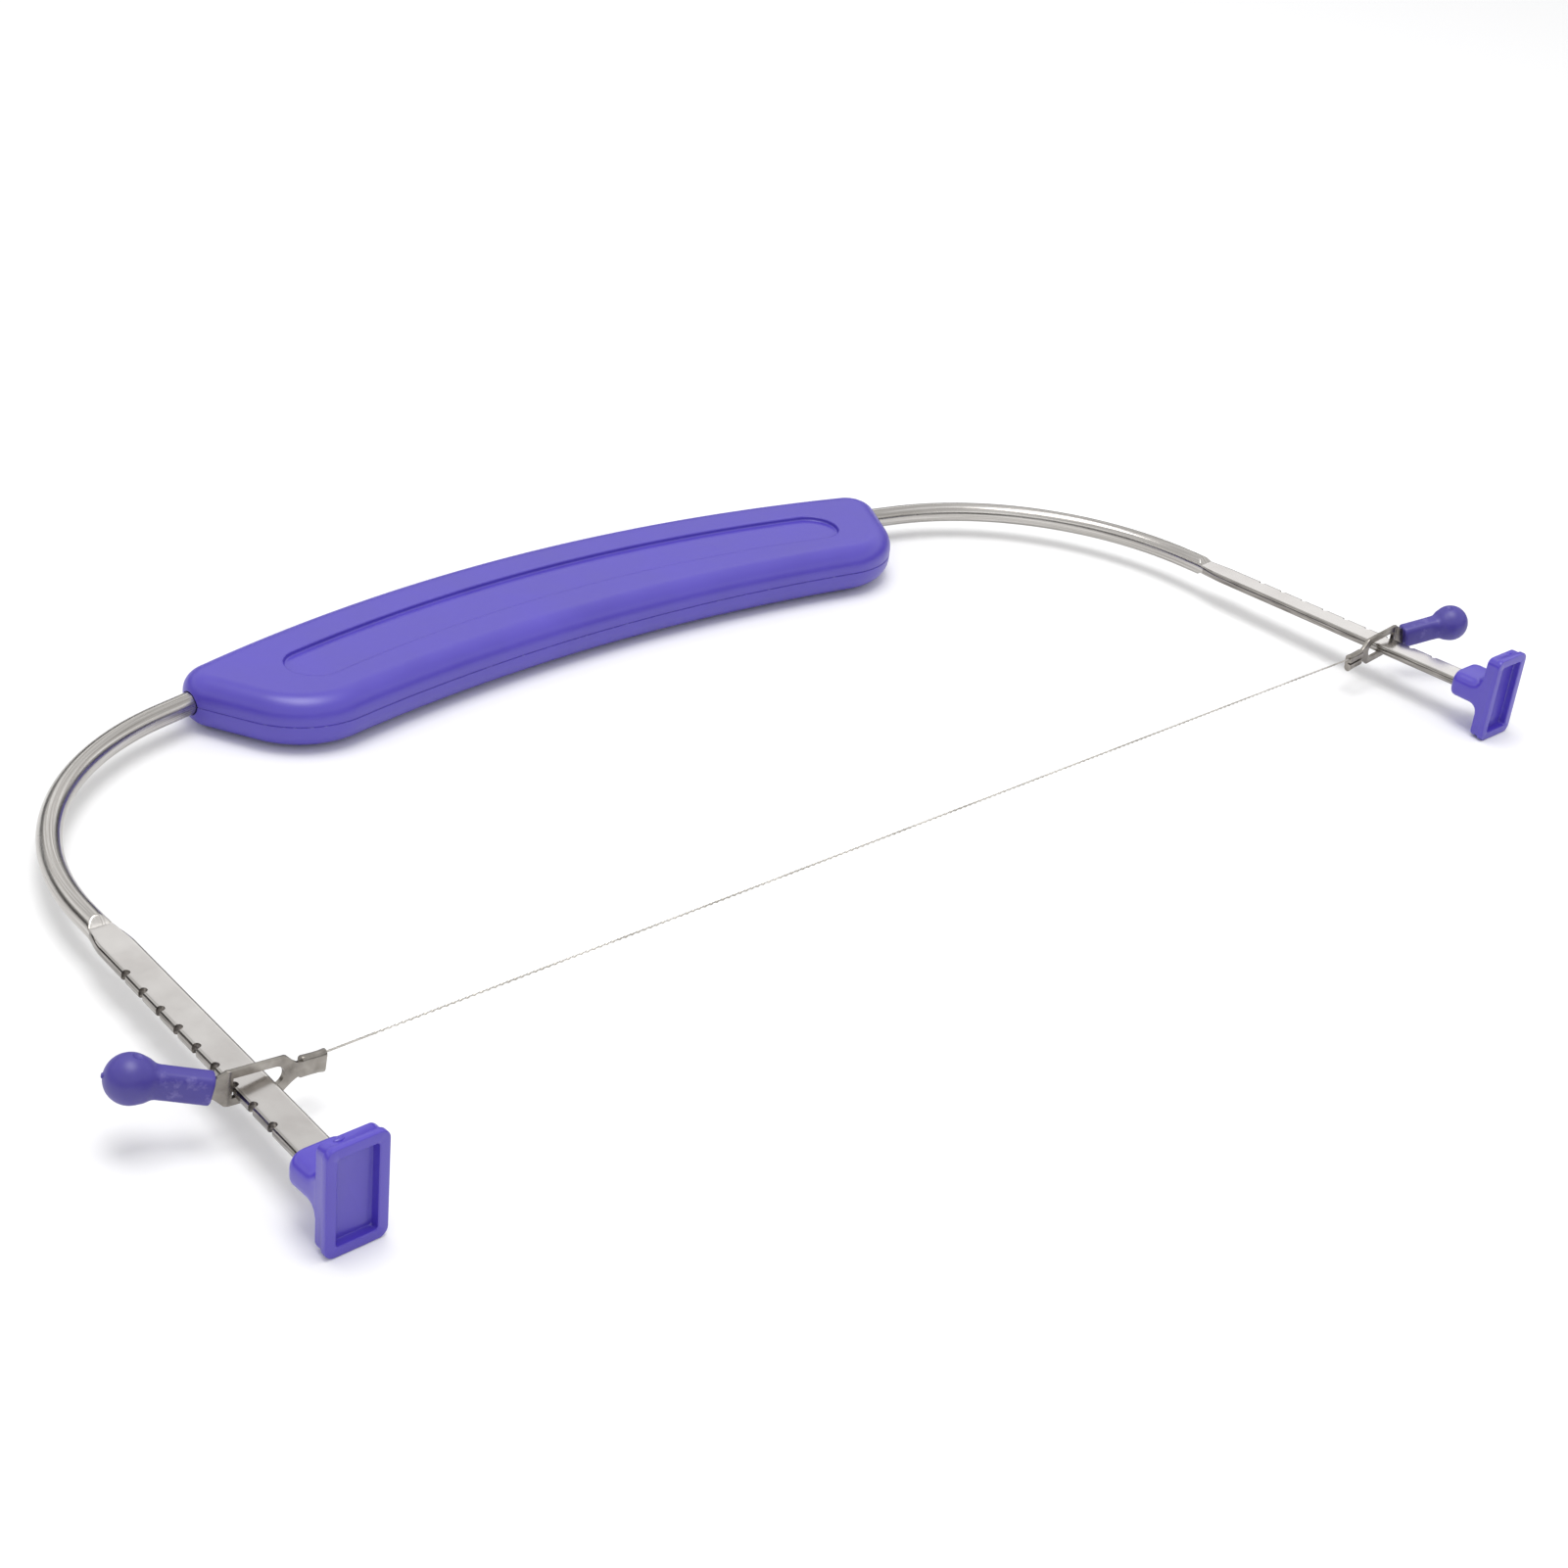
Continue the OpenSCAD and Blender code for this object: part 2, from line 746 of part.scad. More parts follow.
// Ball and hollow neck, turned from one outline about the stem's axis
module knob_head() {
    start = atan2(core_r + knob_neck_r, neck_run);
    translate([stem_l - neck_run, 0, 0])
        rotate([0, 90, 0])
            rotate_extrude($fn = 40)
                polygon(concat([[0, 0]],
                    [for (i = [0 : 6]) [core_r + knob_neck_r * (1 - cos(neck_turn * i / 6)),
                        knob_neck_r * sin(neck_turn * i / 6)]],
                    [for (i = [1 : 13]) [ball_d / 2 * sin(start + (180 - start) * i / 14),
                        neck_run - ball_d / 2 * cos(start + (180 - start) * i / 14)]],
                    [[0, neck_run + ball_d / 2]]));
}

// Knob round the neck: flat stem, ball with a dimple in each side, and a gate mark at the tip
module knob_piece() {
    difference() {
        knob_frame()
            rotate([90, 0, 90])
                linear_extrude(stem_l)
                    round_rect(stem_t, stem_h, stem_r);
        neck_sheet();
    }
    knob_frame() {
        difference() {
            knob_head();
            for (s = [-1, 1])
                translate([stem_l, s * (ball_d / 2 + dimple_r - dimple_d), 0])
                    sphere(r = dimple_r, $fn = 32);
        }
        translate([stem_l + ball_d / 2 - 0.2, 0, 0])
            rotate([0, 90, 0])
                cylinder(d = 0.9, h = 0.5, $fn = 24);
    }
}

module right_knob() {
    color(plastic)
        laid()
            knob_piece();
}

module left_knob() {
    color(plastic)
        laid()
            turned()
                knob_piece();
}

// Taut wire from crimp to crimp, a hair off square because each crimp folds on its own side
module cutting_wire() {
    color(wire_steel)
        laid()
            translate([0, set_y, 0])
                rotate([0, 90, -wire_skew]) {
                    translate([0, 0, -wire_end_x])
                        cylinder(d = wire_d, h = 2 * wire_end_x, $fn = 24);
                    translate([0, 0, -cut_x])
                        cylinder(d = twist_d, h = 2 * cut_x, $fn = 24);
                }
}

frame_rod();
handle_top_shell();
handle_bottom_shell();
left_foot();
right_foot();
left_clip();
right_clip();
left_knob();
right_knob();
cutting_wire();
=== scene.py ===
import json
import math

import bmesh
import bpy
from mathutils import Euler, Matrix, Vector

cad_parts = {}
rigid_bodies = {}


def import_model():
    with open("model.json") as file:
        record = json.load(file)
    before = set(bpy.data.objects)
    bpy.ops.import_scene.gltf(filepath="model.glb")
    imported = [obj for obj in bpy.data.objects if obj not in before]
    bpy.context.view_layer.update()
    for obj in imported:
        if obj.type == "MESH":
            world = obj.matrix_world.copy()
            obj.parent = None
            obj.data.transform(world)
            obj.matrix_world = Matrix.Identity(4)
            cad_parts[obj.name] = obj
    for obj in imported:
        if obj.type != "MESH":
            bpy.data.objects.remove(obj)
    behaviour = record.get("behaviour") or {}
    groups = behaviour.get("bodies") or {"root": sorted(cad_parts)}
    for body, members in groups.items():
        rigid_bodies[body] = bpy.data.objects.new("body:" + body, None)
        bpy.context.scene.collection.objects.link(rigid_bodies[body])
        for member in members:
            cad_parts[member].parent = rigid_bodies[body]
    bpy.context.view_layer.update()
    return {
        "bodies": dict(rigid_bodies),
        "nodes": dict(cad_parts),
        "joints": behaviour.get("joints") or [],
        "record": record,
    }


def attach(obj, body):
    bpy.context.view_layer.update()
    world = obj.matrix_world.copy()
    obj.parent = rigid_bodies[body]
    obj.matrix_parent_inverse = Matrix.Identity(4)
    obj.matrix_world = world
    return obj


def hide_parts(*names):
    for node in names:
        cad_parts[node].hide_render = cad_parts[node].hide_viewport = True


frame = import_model()


# White table and soft light
# The leveler lies on a matt white table. A wide bright ceiling lights it with soft, pale
# shadows, and the darker band near the horizon is what draws the dark lines along the polished rod.
def linear(hex_colour):
    """An sRGB hex colour as linear RGBA."""
    channels = [int(hex_colour[i : i + 2], 16) / 255 for i in (1, 3, 5)]
    return [c / 12.92 if c <= 0.04045 else ((c + 0.055) / 1.055) ** 2.4 for c in channels] + [1.0]


def add(tree, kind, settings=None, **inputs):
    """Adds a node. An input is named by its label, or i and its number, and takes a value or a link."""
    node = tree.nodes.new(kind)
    for name, value in (settings or {}).items():
        setattr(node, name, value)
    for name, value in inputs.items():
        number = name[1:]
        numbered = name[0] == "i" and number.isdigit()
        socket = node.inputs[int(number) if numbered else name.replace("_", " ")]
        if isinstance(value, bpy.types.NodeSocket):
            tree.links.new(value, socket)
        else:
            socket.default_value = value
    return node


def new_material(name):
    """A node material with nothing in it but its output."""
    material = bpy.data.materials.new(name)
    material.use_nodes = True
    material.node_tree.nodes.clear()
    return material, material.node_tree, material.node_tree.nodes.new("ShaderNodeOutputMaterial")


table_mesh = bpy.data.meshes.new("table")
table_mesh.from_pydata([(-5, -5, 0), (5, -5, 0), (5, 5, 0), (-5, 5, 0)], [], [(0, 1, 2, 3)])
table = bpy.data.objects.new("table", table_mesh)
bpy.context.scene.collection.objects.link(table)
# Painted board: quite matt, so that the table shows nothing but shadows
white_board, tree, out = new_material("matt white board")
board = add(tree, "ShaderNodeBsdfPrincipled", Base_Color=linear("#F6F6F6"), Roughness=0.9,
            Specular_IOR_Level=0.1)
tree.links.new(board.outputs[0], out.inputs[0])
table.data.materials.append(white_board)

studio = bpy.data.worlds.new("studio")
bpy.context.scene.world = studio
studio.use_nodes = True
tree = studio.node_tree
direction = add(tree, "ShaderNodeTexCoord")
height = add(tree, "ShaderNodeSeparateXYZ", Vector=direction.outputs["Generated"])
dome = add(tree, "ShaderNodeValToRGB", Fac=height.outputs["Z"])
dome.color_ramp.elements[0].color = (0.03, 0.03, 0.035, 1)
dome.color_ramp.elements[1].color = (0.55, 0.55, 0.56, 1)
for spot, level in ((0.21, 0.04), (0.31, 0.34), (0.38, 1.0), (0.43, 1.0), (0.5, 0.62), (0.64, 0.48)):
    dome.color_ramp.elements.new(spot).color = (level, level, level, 1)
light_dome = tree.nodes["Background"]
tree.links.new(dome.outputs["Color"], light_dome.inputs["Color"])
light_dome.inputs["Strength"].default_value = 1.6
# Seen directly, past the edge of the table, the room is an even pale grey
seen = add(tree, "ShaderNodeLightPath")
backdrop = add(tree, "ShaderNodeBackground", Color=linear("#F4F4F4"), Strength=1.0)
room = add(tree, "ShaderNodeMixShader", i0=seen.outputs["Is Camera Ray"], i1=light_dome.outputs[0],
           i2=backdrop.outputs[0])
tree.links.new(room.outputs[0], tree.nodes["World Output"].inputs["Surface"])
bpy.context.scene.view_settings.view_transform = "Standard"

# One large soft lamp over the table, a little to the left
ceiling_light = bpy.data.lights.new("ceiling box", "AREA")
ceiling_light.shape = "RECTANGLE"
ceiling_light.size, ceiling_light.size_y = 0.8, 0.6
ceiling_light.energy = 8
lamp = bpy.data.objects.new("ceiling box", ceiling_light)
lamp.location = (-0.05, 0.0, 1.3)
lamp.rotation_euler = (-lamp.location).to_track_quat("-Z", "Y").to_euler()
bpy.context.scene.collection.objects.link(lamp)

# Camera
# It stands in front of the left foot and a little above, and looks across the bow to the right,
# with the lens and the small shift that lay the model over the photo.
photo_camera = bpy.data.cameras.new("camera")
photo_camera.sensor_width = 36
photo_camera.lens = 58.504
photo_camera.shift_x = -0.06031
photo_camera.shift_y = 0.00046
photo_camera.clip_start = 0.01
camera = bpy.data.objects.new("camera", photo_camera)
camera.location = (-0.3147333, -0.3115659, 0.2478648)
camera.rotation_euler = Euler((1.0486353, -0.1369760, -0.7698795), "XYZ")
bpy.context.scene.collection.objects.link(camera)
bpy.context.scene.camera = camera

# Steel bow
# One 4.4 mm stainless rod, bent cold. Both legs are pressed flat and punched with nine notches.
# It is drawn and polished along its length, so it mirrors the studio in long streaks.
ROD = 2.2
SPLAY = math.radians(3.6)
SHOULDER_R, GRIP_BEND_R = 58.0, 420.0
FOOT_X, BEND_Y, LEG_END_Y = 147.1, 86.0, 80.5
LEG_HALF_W, LEG_HALF_T, LEG_EDGE = 3.1, 0.95, 0.7
LEG_START_Y, FLARE, PRESS_FALL = 2.4, 6.5, 0.78
SHOULDER_C = (
    FOOT_X - BEND_Y * math.tan(SPLAY) - SHOULDER_R * math.cos(SPLAY),
    BEND_Y - SHOULDER_R * math.sin(SPLAY),
)
GRIP_C_Y = SHOULDER_C[1] - math.sqrt((GRIP_BEND_R - SHOULDER_R) ** 2 - SHOULDER_C[0] ** 2)
GRIP_HALF = math.asin(SHOULDER_C[0] / (GRIP_BEND_R - SHOULDER_R))
ROD_Y = GRIP_C_Y + GRIP_BEND_R

# The pieces are drawn standing in the bow's plane, in millimetres, and then laid down in metres:
# the leveler rests on the rims of both feet and on the rounded back edge of the grip
GRIP_BACK, SHELL_H, GRIP_EDGE = 8.2, 5.3, 4.3
FOOT_H, RIM_D = 19.2, 1.3
edge_y, edge_z = ROD_Y + GRIP_BACK - GRIP_EDGE, SHELL_H - GRIP_EDGE
rest_y, rest_z = edge_y - RIM_D, FOOT_H / 2 - edge_z
LAY = math.acos(GRIP_EDGE / math.hypot(rest_z, rest_y)) - math.atan2(rest_y, rest_z)
LIFT = RIM_D * math.sin(LAY) + FOOT_H / 2 * math.cos(LAY)
high_y = edge_y * math.cos(LAY) + edge_z * math.sin(LAY) + GRIP_EDGE
MID_Y = (high_y - FOOT_H / 2 * math.sin(LAY)) / 2
laid = Matrix.Scale(0.001, 4) @ Matrix.Translation((0, -MID_Y, LIFT)) @ Matrix.Rotation(-LAY, 4, "X")


def loft(bm, rings, start_cap=True, end_cap=True):
    """Skins closed rings of points, and marks each face with its place along and around, in mm."""
    flow = bm.loops.layers.uv.get("flow") or bm.loops.layers.uv.new("flow")
    rows = [[bm.verts.new(p) for p in ring] for ring in rings]
    count = len(rows[0])
    middles = [sum((Vector(p) for p in ring), Vector()) / count for ring in rings]
    along = [0.0]
    for a, b in zip(middles, middles[1:]):
        along.append(along[-1] + (b - a).length)
    widest = max(rings, key=lambda ring: (Vector(ring[0]) - Vector(ring[count // 2])).length)
    around = [0.0]
    for j in range(count):
        around.append(around[-1] + (Vector(widest[(j + 1) % count]) - Vector(widest[j])).length)
    for i in range(len(rows) - 1):
        for j in range(count):
            k = (j + 1) % count
            face = bm.faces.new((rows[i][j], rows[i + 1][j], rows[i + 1][k], rows[i][k]))
            for loop, uv in zip(face.loops, ((i, j), (i + 1, j), (i + 1, j + 1), (i, j + 1))):
                loop[flow].uv = (along[uv[0]], around[uv[1]])
    if start_cap:
        bm.faces.new(rows[0])
    if end_cap:
        bm.faces.new(rows[-1])
    return rows


def finish_piece(name, bm, materials, body, node, sharp=35, place=None):
    """Lays a piece down in the frame as a smooth-shaded object that stands for its CAD node."""
    bmesh.ops.recalc_face_normals(bm, faces=bm.faces)
    bm.transform(laid @ (place or Matrix()))
    if place is not None and place.is_negative:
        bmesh.ops.reverse_faces(bm, faces=bm.faces)
    mesh = bpy.data.meshes.new(name)
    bm.to_mesh(mesh)
    bm.free()
    for material in materials:
        mesh.materials.append(material)
    mesh.shade_smooth()
    mesh.set_sharp_from_angle(angle=math.radians(sharp))
    piece = bpy.data.objects.new(name, mesh)
    bpy.context.scene.collection.objects.link(piece)
    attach(piece, body)
    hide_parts(node)
    return piece


def carve(bm, cutters, operation="DIFFERENCE"):
    """Cuts or joins closed meshes exactly, and returns the result as a new bmesh."""
    objects = []
    for source in [bm, *cutters]:
        bmesh.ops.recalc_face_normals(source, faces=source.faces)
        mesh = bpy.data.meshes.new("carving")
        source.to_mesh(mesh)
        source.free()
        block = bpy.data.objects.new("carving", mesh)
        bpy.context.scene.collection.objects.link(block)
        objects.append(block)
    for cutter in objects[1:]:
        cut = objects[0].modifiers.new("cut", "BOOLEAN")
        cut.operation, cut.solver, cut.object = operation, "EXACT", cutter
    result = bmesh.new()
    result.from_mesh(objects[0].evaluated_get(bpy.context.evaluated_depsgraph_get()).data)
    for block in objects:
        mesh = block.data
        bpy.data.objects.remove(block)
        bpy.data.meshes.remove(mesh)
    return result


def s_curve(t):
    """1 at t = 0 falling smoothly to 0 at t = 1."""
    return 0.5 + 0.5 * math.cos(math.pi * min(max(t, 0), 1))


def rod_section(half_w, half_t, squareness, quarter=15):
    """Section of the rod, from round to pressed flat, as points of normal and height."""
    turn = math.asin(LEG_HALF_T / ROD)
    points = []
    for i in range(4 * quarter):
        q, k = divmod(i, quarter)
        angle = math.pi / 2 * k / quarter
        if q % 2:
            angle = math.pi / 2 - angle
        round_x, round_z = math.cos(angle) * half_w, min(math.sin(angle) * ROD, half_t)
        if angle >= turn:
            flat_x = (LEG_HALF_W - LEG_EDGE) * math.cos(angle) / math.cos(turn)
            flat_z = LEG_HALF_T
        else:
            share = angle / turn
            bend = math.radians(90) * max(0, (share - 0.25) / 0.75)
            flat_x = LEG_HALF_W - LEG_EDGE + LEG_EDGE * math.cos(bend)
            flat_z = (LEG_HALF_T - LEG_EDGE) * min(1, share / 0.25) + LEG_EDGE * math.sin(bend)
        flat_x *= half_w / LEG_HALF_W
        x = round_x + (flat_x - round_x) * squareness
        z = round_z + (flat_z - round_z) * squareness
        points.append((x if q in (0, 3) else -x, z if q < 2 else -z))
    return points


leg_len = LEG_END_Y / math.cos(SPLAY)
GRIP_STEPS, SHOULDER_STEPS, LEG_STEPS = 14, 56, 10
shoulder_turn = math.pi / 2 - SPLAY - GRIP_HALF
stations = [("grip", GRIP_HALF * i / GRIP_STEPS) for i in range(GRIP_STEPS)]
stations += [("shoulder", GRIP_HALF + shoulder_turn * i / SHOULDER_STEPS) for i in range(SHOULDER_STEPS + 1)]
# The rings lie closest over the step that the press leaves, and next over the flare below it
leg_points = [leg_len + 3.5, leg_len + 2.0]
leg_points += [leg_len + 1.6 - 0.15 * i for i in range(17)]
leg_points += [leg_len - 1.2 - 0.4 * i for i in range(15)]
flat_top = leg_len - FLARE - 1
leg_points += [flat_top - i * (flat_top - LEG_START_Y) / LEG_STEPS for i in range(LEG_STEPS + 1)]
stations += [("leg", u) for u in leg_points]


def rod_ring(kind, s):
    """Ring of the right half of the bow at one station."""
    half_w, half_t, square = ROD, ROD, 0.0
    if kind == "leg":
        half_t = min(ROD, LEG_HALF_T + max(0, PRESS_FALL * (s - (leg_len - 0.5))))
        square = s_curve((s - leg_len + FLARE) / (FLARE + 1.0))
        half_w = ROD + (LEG_HALF_W - ROD) * square
        normal = Vector((math.cos(SPLAY), math.sin(SPLAY), 0))
        centre = Vector((FOOT_X - s * math.sin(SPLAY), s * math.cos(SPLAY), 0))
    else:
        normal = Vector((math.sin(s), math.cos(s), 0))
        if kind == "grip":
            centre = Vector((0, GRIP_C_Y, 0)) + GRIP_BEND_R * normal
        else:
            centre = Vector((*SHOULDER_C, 0)) + SHOULDER_R * normal
    return [centre + normal * n + Vector((0, 0, z)) for n, z in rod_section(half_w, half_t, square)]


def mirrored(ring):
    """The same ring on the left side, its points in the same order."""
    return [Vector((-p.x, p.y, p.z)) for p in ring]


right_rings = [rod_ring(kind, s) for kind, s in stations]
rod = bmesh.new()
loft(rod, [mirrored(ring) for ring in reversed(right_rings[1:])] + right_rings)

NOTCHES, PITCH, NOTCH_LOW = 9, 5.8, 19.6
NOTCH_W, NOTCH_DEPTH = 1.3, 1.2
punch = bmesh.new()
notch_r = NOTCH_W * 0.55
neck_x = LEG_HALF_W - (NOTCH_DEPTH - notch_r)
leg_frame = Matrix.Translation((FOOT_X, 0, 0)) @ Matrix.Rotation(SPLAY, 4, "Z")
for side in (1, -1):
    side_frame = Matrix.Scale(side, 4, (1, 0, 0)) @ leg_frame
    for i in range(NOTCHES):
        y = NOTCH_LOW / math.cos(SPLAY) + i * PITCH
        keyhole = [(LEG_HALF_W + 1, y - NOTCH_W / 2), (LEG_HALF_W + 1, y + NOTCH_W / 2)]
        for k in range(15):
            angle = math.radians(65 + 230 * k / 14)
            keyhole.append((neck_x + notch_r * math.cos(angle), y + notch_r * math.sin(angle)))
        loft(punch, [[side_frame @ Vector((x, v, z)) for x, v in keyhole] for z in (-2, 2)])
rod = carve(rod, [punch])

# Which steel each face of a leg shows: 1 the flats, 2 the walls of the notches, painted dark as shade, 3 the
# bulged sides, painted a darker grey as shade
for face in rod.faces:
    middle = face.calc_center_median()
    local = leg_frame.inverted() @ Vector((abs(middle.x), *middle.yz))
    face.normal_update()
    if 0 < local.y < leg_len + 1.2 and abs(local.x) < 4:
        across = abs((leg_frame.to_3x3().inverted() @ face.normal).y)
        if abs(face.normal.z) > 0.95:
            face.material_index = 1
        # Notch walls take the steel that is painted dark as shade
        elif local.x > 1 and (local.x < 2.2 or across > 0.25) and local.y < leg_len - 6:
            face.material_index = 2
        # Narrow sides take the steel that is painted darker as shade
        elif abs(face.normal.z) < 0.85 and local.y < leg_len - 1:
            face.material_index = 3

# Stainless rod, drawn and polished: fine darker lines along its length, and patches a little duller
polished_rod, tree, out = new_material("drawn and polished stainless rod")
flow = add(tree, "ShaderNodeUVMap", {"uv_map": "flow"})
drawn = add(tree, "ShaderNodeMapping", Vector=flow.outputs["UV"], Scale=(0.03, 2.2, 1.0))
lines = add(tree, "ShaderNodeTexNoise", Vector=drawn.outputs[0], Scale=1.0, Detail=5.0, Roughness=0.6)
place = add(tree, "ShaderNodeTexCoord").outputs["Object"]
patch = add(tree, "ShaderNodeTexNoise", Vector=place, Scale=90.0, Detail=3.0)
tone = add(tree, "ShaderNodeValToRGB", Fac=lines.outputs["Fac"])
tone.color_ramp.elements[0].position, tone.color_ramp.elements[0].color = 0.35, linear("#A09C97")
tone.color_ramp.elements[1].position, tone.color_ramp.elements[1].color = 0.65, linear("#CFCCC8")
dull = add(tree, "ShaderNodeMapRange", Value=patch.outputs["Fac"], To_Min=0.17, To_Max=0.34)
scratch = add(tree, "ShaderNodeBump", Height=lines.outputs["Fac"], Strength=0.15, Distance=0.0001)
steel = add(tree, "ShaderNodeBsdfPrincipled", Base_Color=tone.outputs["Color"], Metallic=1.0,
            Roughness=dull.outputs["Result"], Normal=scratch.outputs["Normal"])
tree.links.new(steel.outputs[0], out.inputs[0])

# Where the press has flattened it, the steel is an even satin with a few faint handling smears
pressed_flat, tree, out = new_material("pressed flat stainless")
place = add(tree, "ShaderNodeTexCoord").outputs["Object"]
smear = add(tree, "ShaderNodeTexNoise", Vector=place, Scale=120.0, Detail=4.0, Roughness=0.55)
even = add(tree, "ShaderNodeValToRGB", Fac=smear.outputs["Fac"])
even.color_ramp.elements[0].position, even.color_ramp.elements[0].color = 0.3, linear("#C9C5C2")
even.color_ramp.elements[1].position, even.color_ramp.elements[1].color = 0.7, linear("#D8D5D2")
satin = add(tree, "ShaderNodeMapRange", Value=smear.outputs["Fac"], To_Min=0.16, To_Max=0.24)
pressed = add(tree, "ShaderNodeBsdfPrincipled", Base_Color=even.outputs["Color"], Metallic=1.0,
              Roughness=satin.outputs["Result"])
tree.links.new(pressed.outputs[0], out.inputs[0])

# The punched walls of the notches are torn, and painted dark as shade in the hollows, so they read as dark
# spots
notch_shade_steel, tree, out = new_material("punched steel edge painted dark for shade")
place = add(tree, "ShaderNodeTexCoord").outputs["Object"]
shade_mottle = add(tree, "ShaderNodeTexNoise", Vector=place, Scale=2500.0, Detail=3.0)
painted_notch_shade = add(tree, "ShaderNodeValToRGB", Fac=shade_mottle.outputs["Fac"])
painted_notch_shade.color_ramp.elements[0].position, painted_notch_shade.color_ramp.elements[0].color = 0.35, linear("#5E5A56")
painted_notch_shade.color_ramp.elements[1].position, painted_notch_shade.color_ramp.elements[1].color = 0.7, linear("#9C968F")
torn = add(tree, "ShaderNodeBsdfPrincipled", Base_Color=painted_notch_shade.outputs["Color"], Metallic=1.0, Roughness=0.5)
tree.links.new(torn.outputs[0], out.inputs[0])

# The narrow sides bulged out under the press, and are painted a darker grey than the flats as painted shade
dark_painted_side, tree, out = new_material("pressed steel side painted dark for shade")
flow = add(tree, "ShaderNodeUVMap", {"uv_map": "flow"})
drawn = add(tree, "ShaderNodeMapping", Vector=flow.outputs["UV"], Scale=(0.15, 3.0, 1.0))
streak = add(tree, "ShaderNodeTexNoise", Vector=drawn.outputs[0], Scale=1.0, Detail=4.0)
grey = add(tree, "ShaderNodeValToRGB", Fac=streak.outputs["Fac"])
grey.color_ramp.elements[0].position, grey.color_ramp.elements[0].color = 0.35, linear("#6B6763")
grey.color_ramp.elements[1].position, grey.color_ramp.elements[1].color = 0.65, linear("#A8A49F")
side_steel = add(tree, "ShaderNodeBsdfPrincipled", Base_Color=grey.outputs["Color"], Metallic=1.0,
                 Roughness=0.2)
tree.links.new(side_steel.outputs[0], out.inputs[0])
bow_steels = [polished_rod, pressed_flat, notch_shade_steel, dark_painted_side]
finish_piece("bow_rod", rod, bow_steels, "bow", "frame_rod", sharp=28)

# Grip
# Two shells of purple ABS, moulded, closed over the rod and pinned inside. The seam runs round the
# middle, and each broad side has a long shallow panel with a soft lip.
# The back stands 0.02 mm inside the source's, so that its fine mesh keeps within the source's box
BACK_Y, FRONT_Y = ROD_Y + GRIP_BACK - 0.02, ROD_Y - 25.0
LOBE_Y, PANEL_Y = ROD_Y - 14.3, ROD_Y - 8.3
BACK_R, LOBE_R, LOBE_X, CORNER_R, CORNER_X = 324.0, 16.9, 68.8, 6.6, 83.2
SHELL_WALL, SEAM, CHANNEL_R = 1.6, 0.2, 2.38
PANEL_R, PANEL_HALF_W, PANEL_X, PANEL_DEPTH = 304.0, 5.8, 65.8, 0.8
back_c = BACK_Y - BACK_R
corner_y = back_c + math.sqrt((BACK_R - CORNER_R) ** 2 - CORNER_X**2)
back_half = math.atan2(CORNER_X, corner_y - back_c)
lobe_dy = LOBE_Y - FRONT_Y
front_r = (lobe_dy**2 + LOBE_X**2 - LOBE_R**2) / (2 * (LOBE_R - lobe_dy))
front_half = math.atan2(LOBE_X, lobe_dy + front_r)
end_turn = math.pi - math.atan2(corner_y - LOBE_Y, CORNER_X - LOBE_X)
end_turn -= math.asin((LOBE_R - CORNER_R) / math.hypot(CORNER_X - LOBE_X, corner_y - LOBE_Y))


def arc(centre, radius, start, end, step, side=1):
    """Points of an arc, each with its outward normal. Angles run clockwise from the bow's middle line."""
    count = max(2, math.ceil(abs(end - start) * radius / step))
    points = []
    for i in range(count + 1):
        angle = start + (end - start) * i / count
        normal = Vector((math.sin(angle), math.cos(angle)))
        points.append((Vector(centre) + normal * radius, normal * side))
    return points


right_edge = arc((0, back_c), BACK_R, 0, back_half, 3.0)[:-1]
right_edge += arc((CORNER_X, corner_y), CORNER_R, back_half, end_turn, 0.5)
right_edge += arc((LOBE_X, LOBE_Y), LOBE_R, end_turn, math.pi + front_half, 1.1)[:-1]
right_edge += arc((0, FRONT_Y - front_r), front_r, front_half, 0, 3.0, -1)
left_edge = [(Vector((-p.x, p.y)), Vector((-n.x, n.y))) for p, n in reversed(right_edge[1:-1])]
panel_c = (0, PANEL_Y - PANEL_R)
panel_turn = math.asin(PANEL_X / PANEL_R)
panel_end = (PANEL_X, panel_c[1] + PANEL_R * math.cos(panel_turn))
panel_edge = arc(panel_c, PANEL_R + PANEL_HALF_W, -panel_turn, panel_turn, 3.0)[:-1]
panel_edge += arc(panel_end, PANEL_HALF_W, panel_turn, panel_turn + math.pi, 0.6)[:-1]
panel_edge += arc(panel_c, PANEL_R - PANEL_HALF_W, panel_turn, -panel_turn, 3.0, -1)[:-1]
far_end, far_turn = (-panel_end[0], panel_end[1]), math.pi - panel_turn
panel_edge += arc(far_end, PANEL_HALF_W, far_turn, far_turn + math.pi, 0.6)[:-1]


def edge_ring(edge, grow, z):
    """The outline moved out by grow, at one height."""
    return [Vector((*(p + n * grow), z)) for p, n in edge]


grip_edge = right_edge + left_edge
fillet = [(-GRIP_EDGE * (1 - math.cos(a)), SHELL_H - GRIP_EDGE + GRIP_EDGE * math.sin(a))
          for a in (math.radians(90) * i / 12 for i in range(13))]
lip = [(0.75, 0), (0.42, 0), (0.3, -0.02), (0.2, -0.07), (0.13, -0.15), (0.09, -0.27), (0.06, -0.45),
       (0.03, -0.65), (-0.03, -0.79), (-0.13, -0.88), (-0.27, -0.92), (-0.6, -0.92)]
shell = bmesh.new()
side_profile = [(-SEAM, 0), (-0.05, 0.12), (0, SEAM), *fillet, (-GRIP_EDGE - 0.4, SHELL_H)]
skin = loft(shell, [edge_ring(grip_edge, *at) for at in side_profile], end_cap=False)
dip = loft(shell, [edge_ring(panel_edge, grow, SHELL_H + z) for grow, z in lip], start_cap=False)
rims = [shell.edges.get((row[j - 1], row[j])) for row in (skin[-1], dip[0]) for j in range(len(row))]
bmesh.ops.triangle_fill(shell, use_beauty=True, edges=rims)
hollow = bmesh.new()
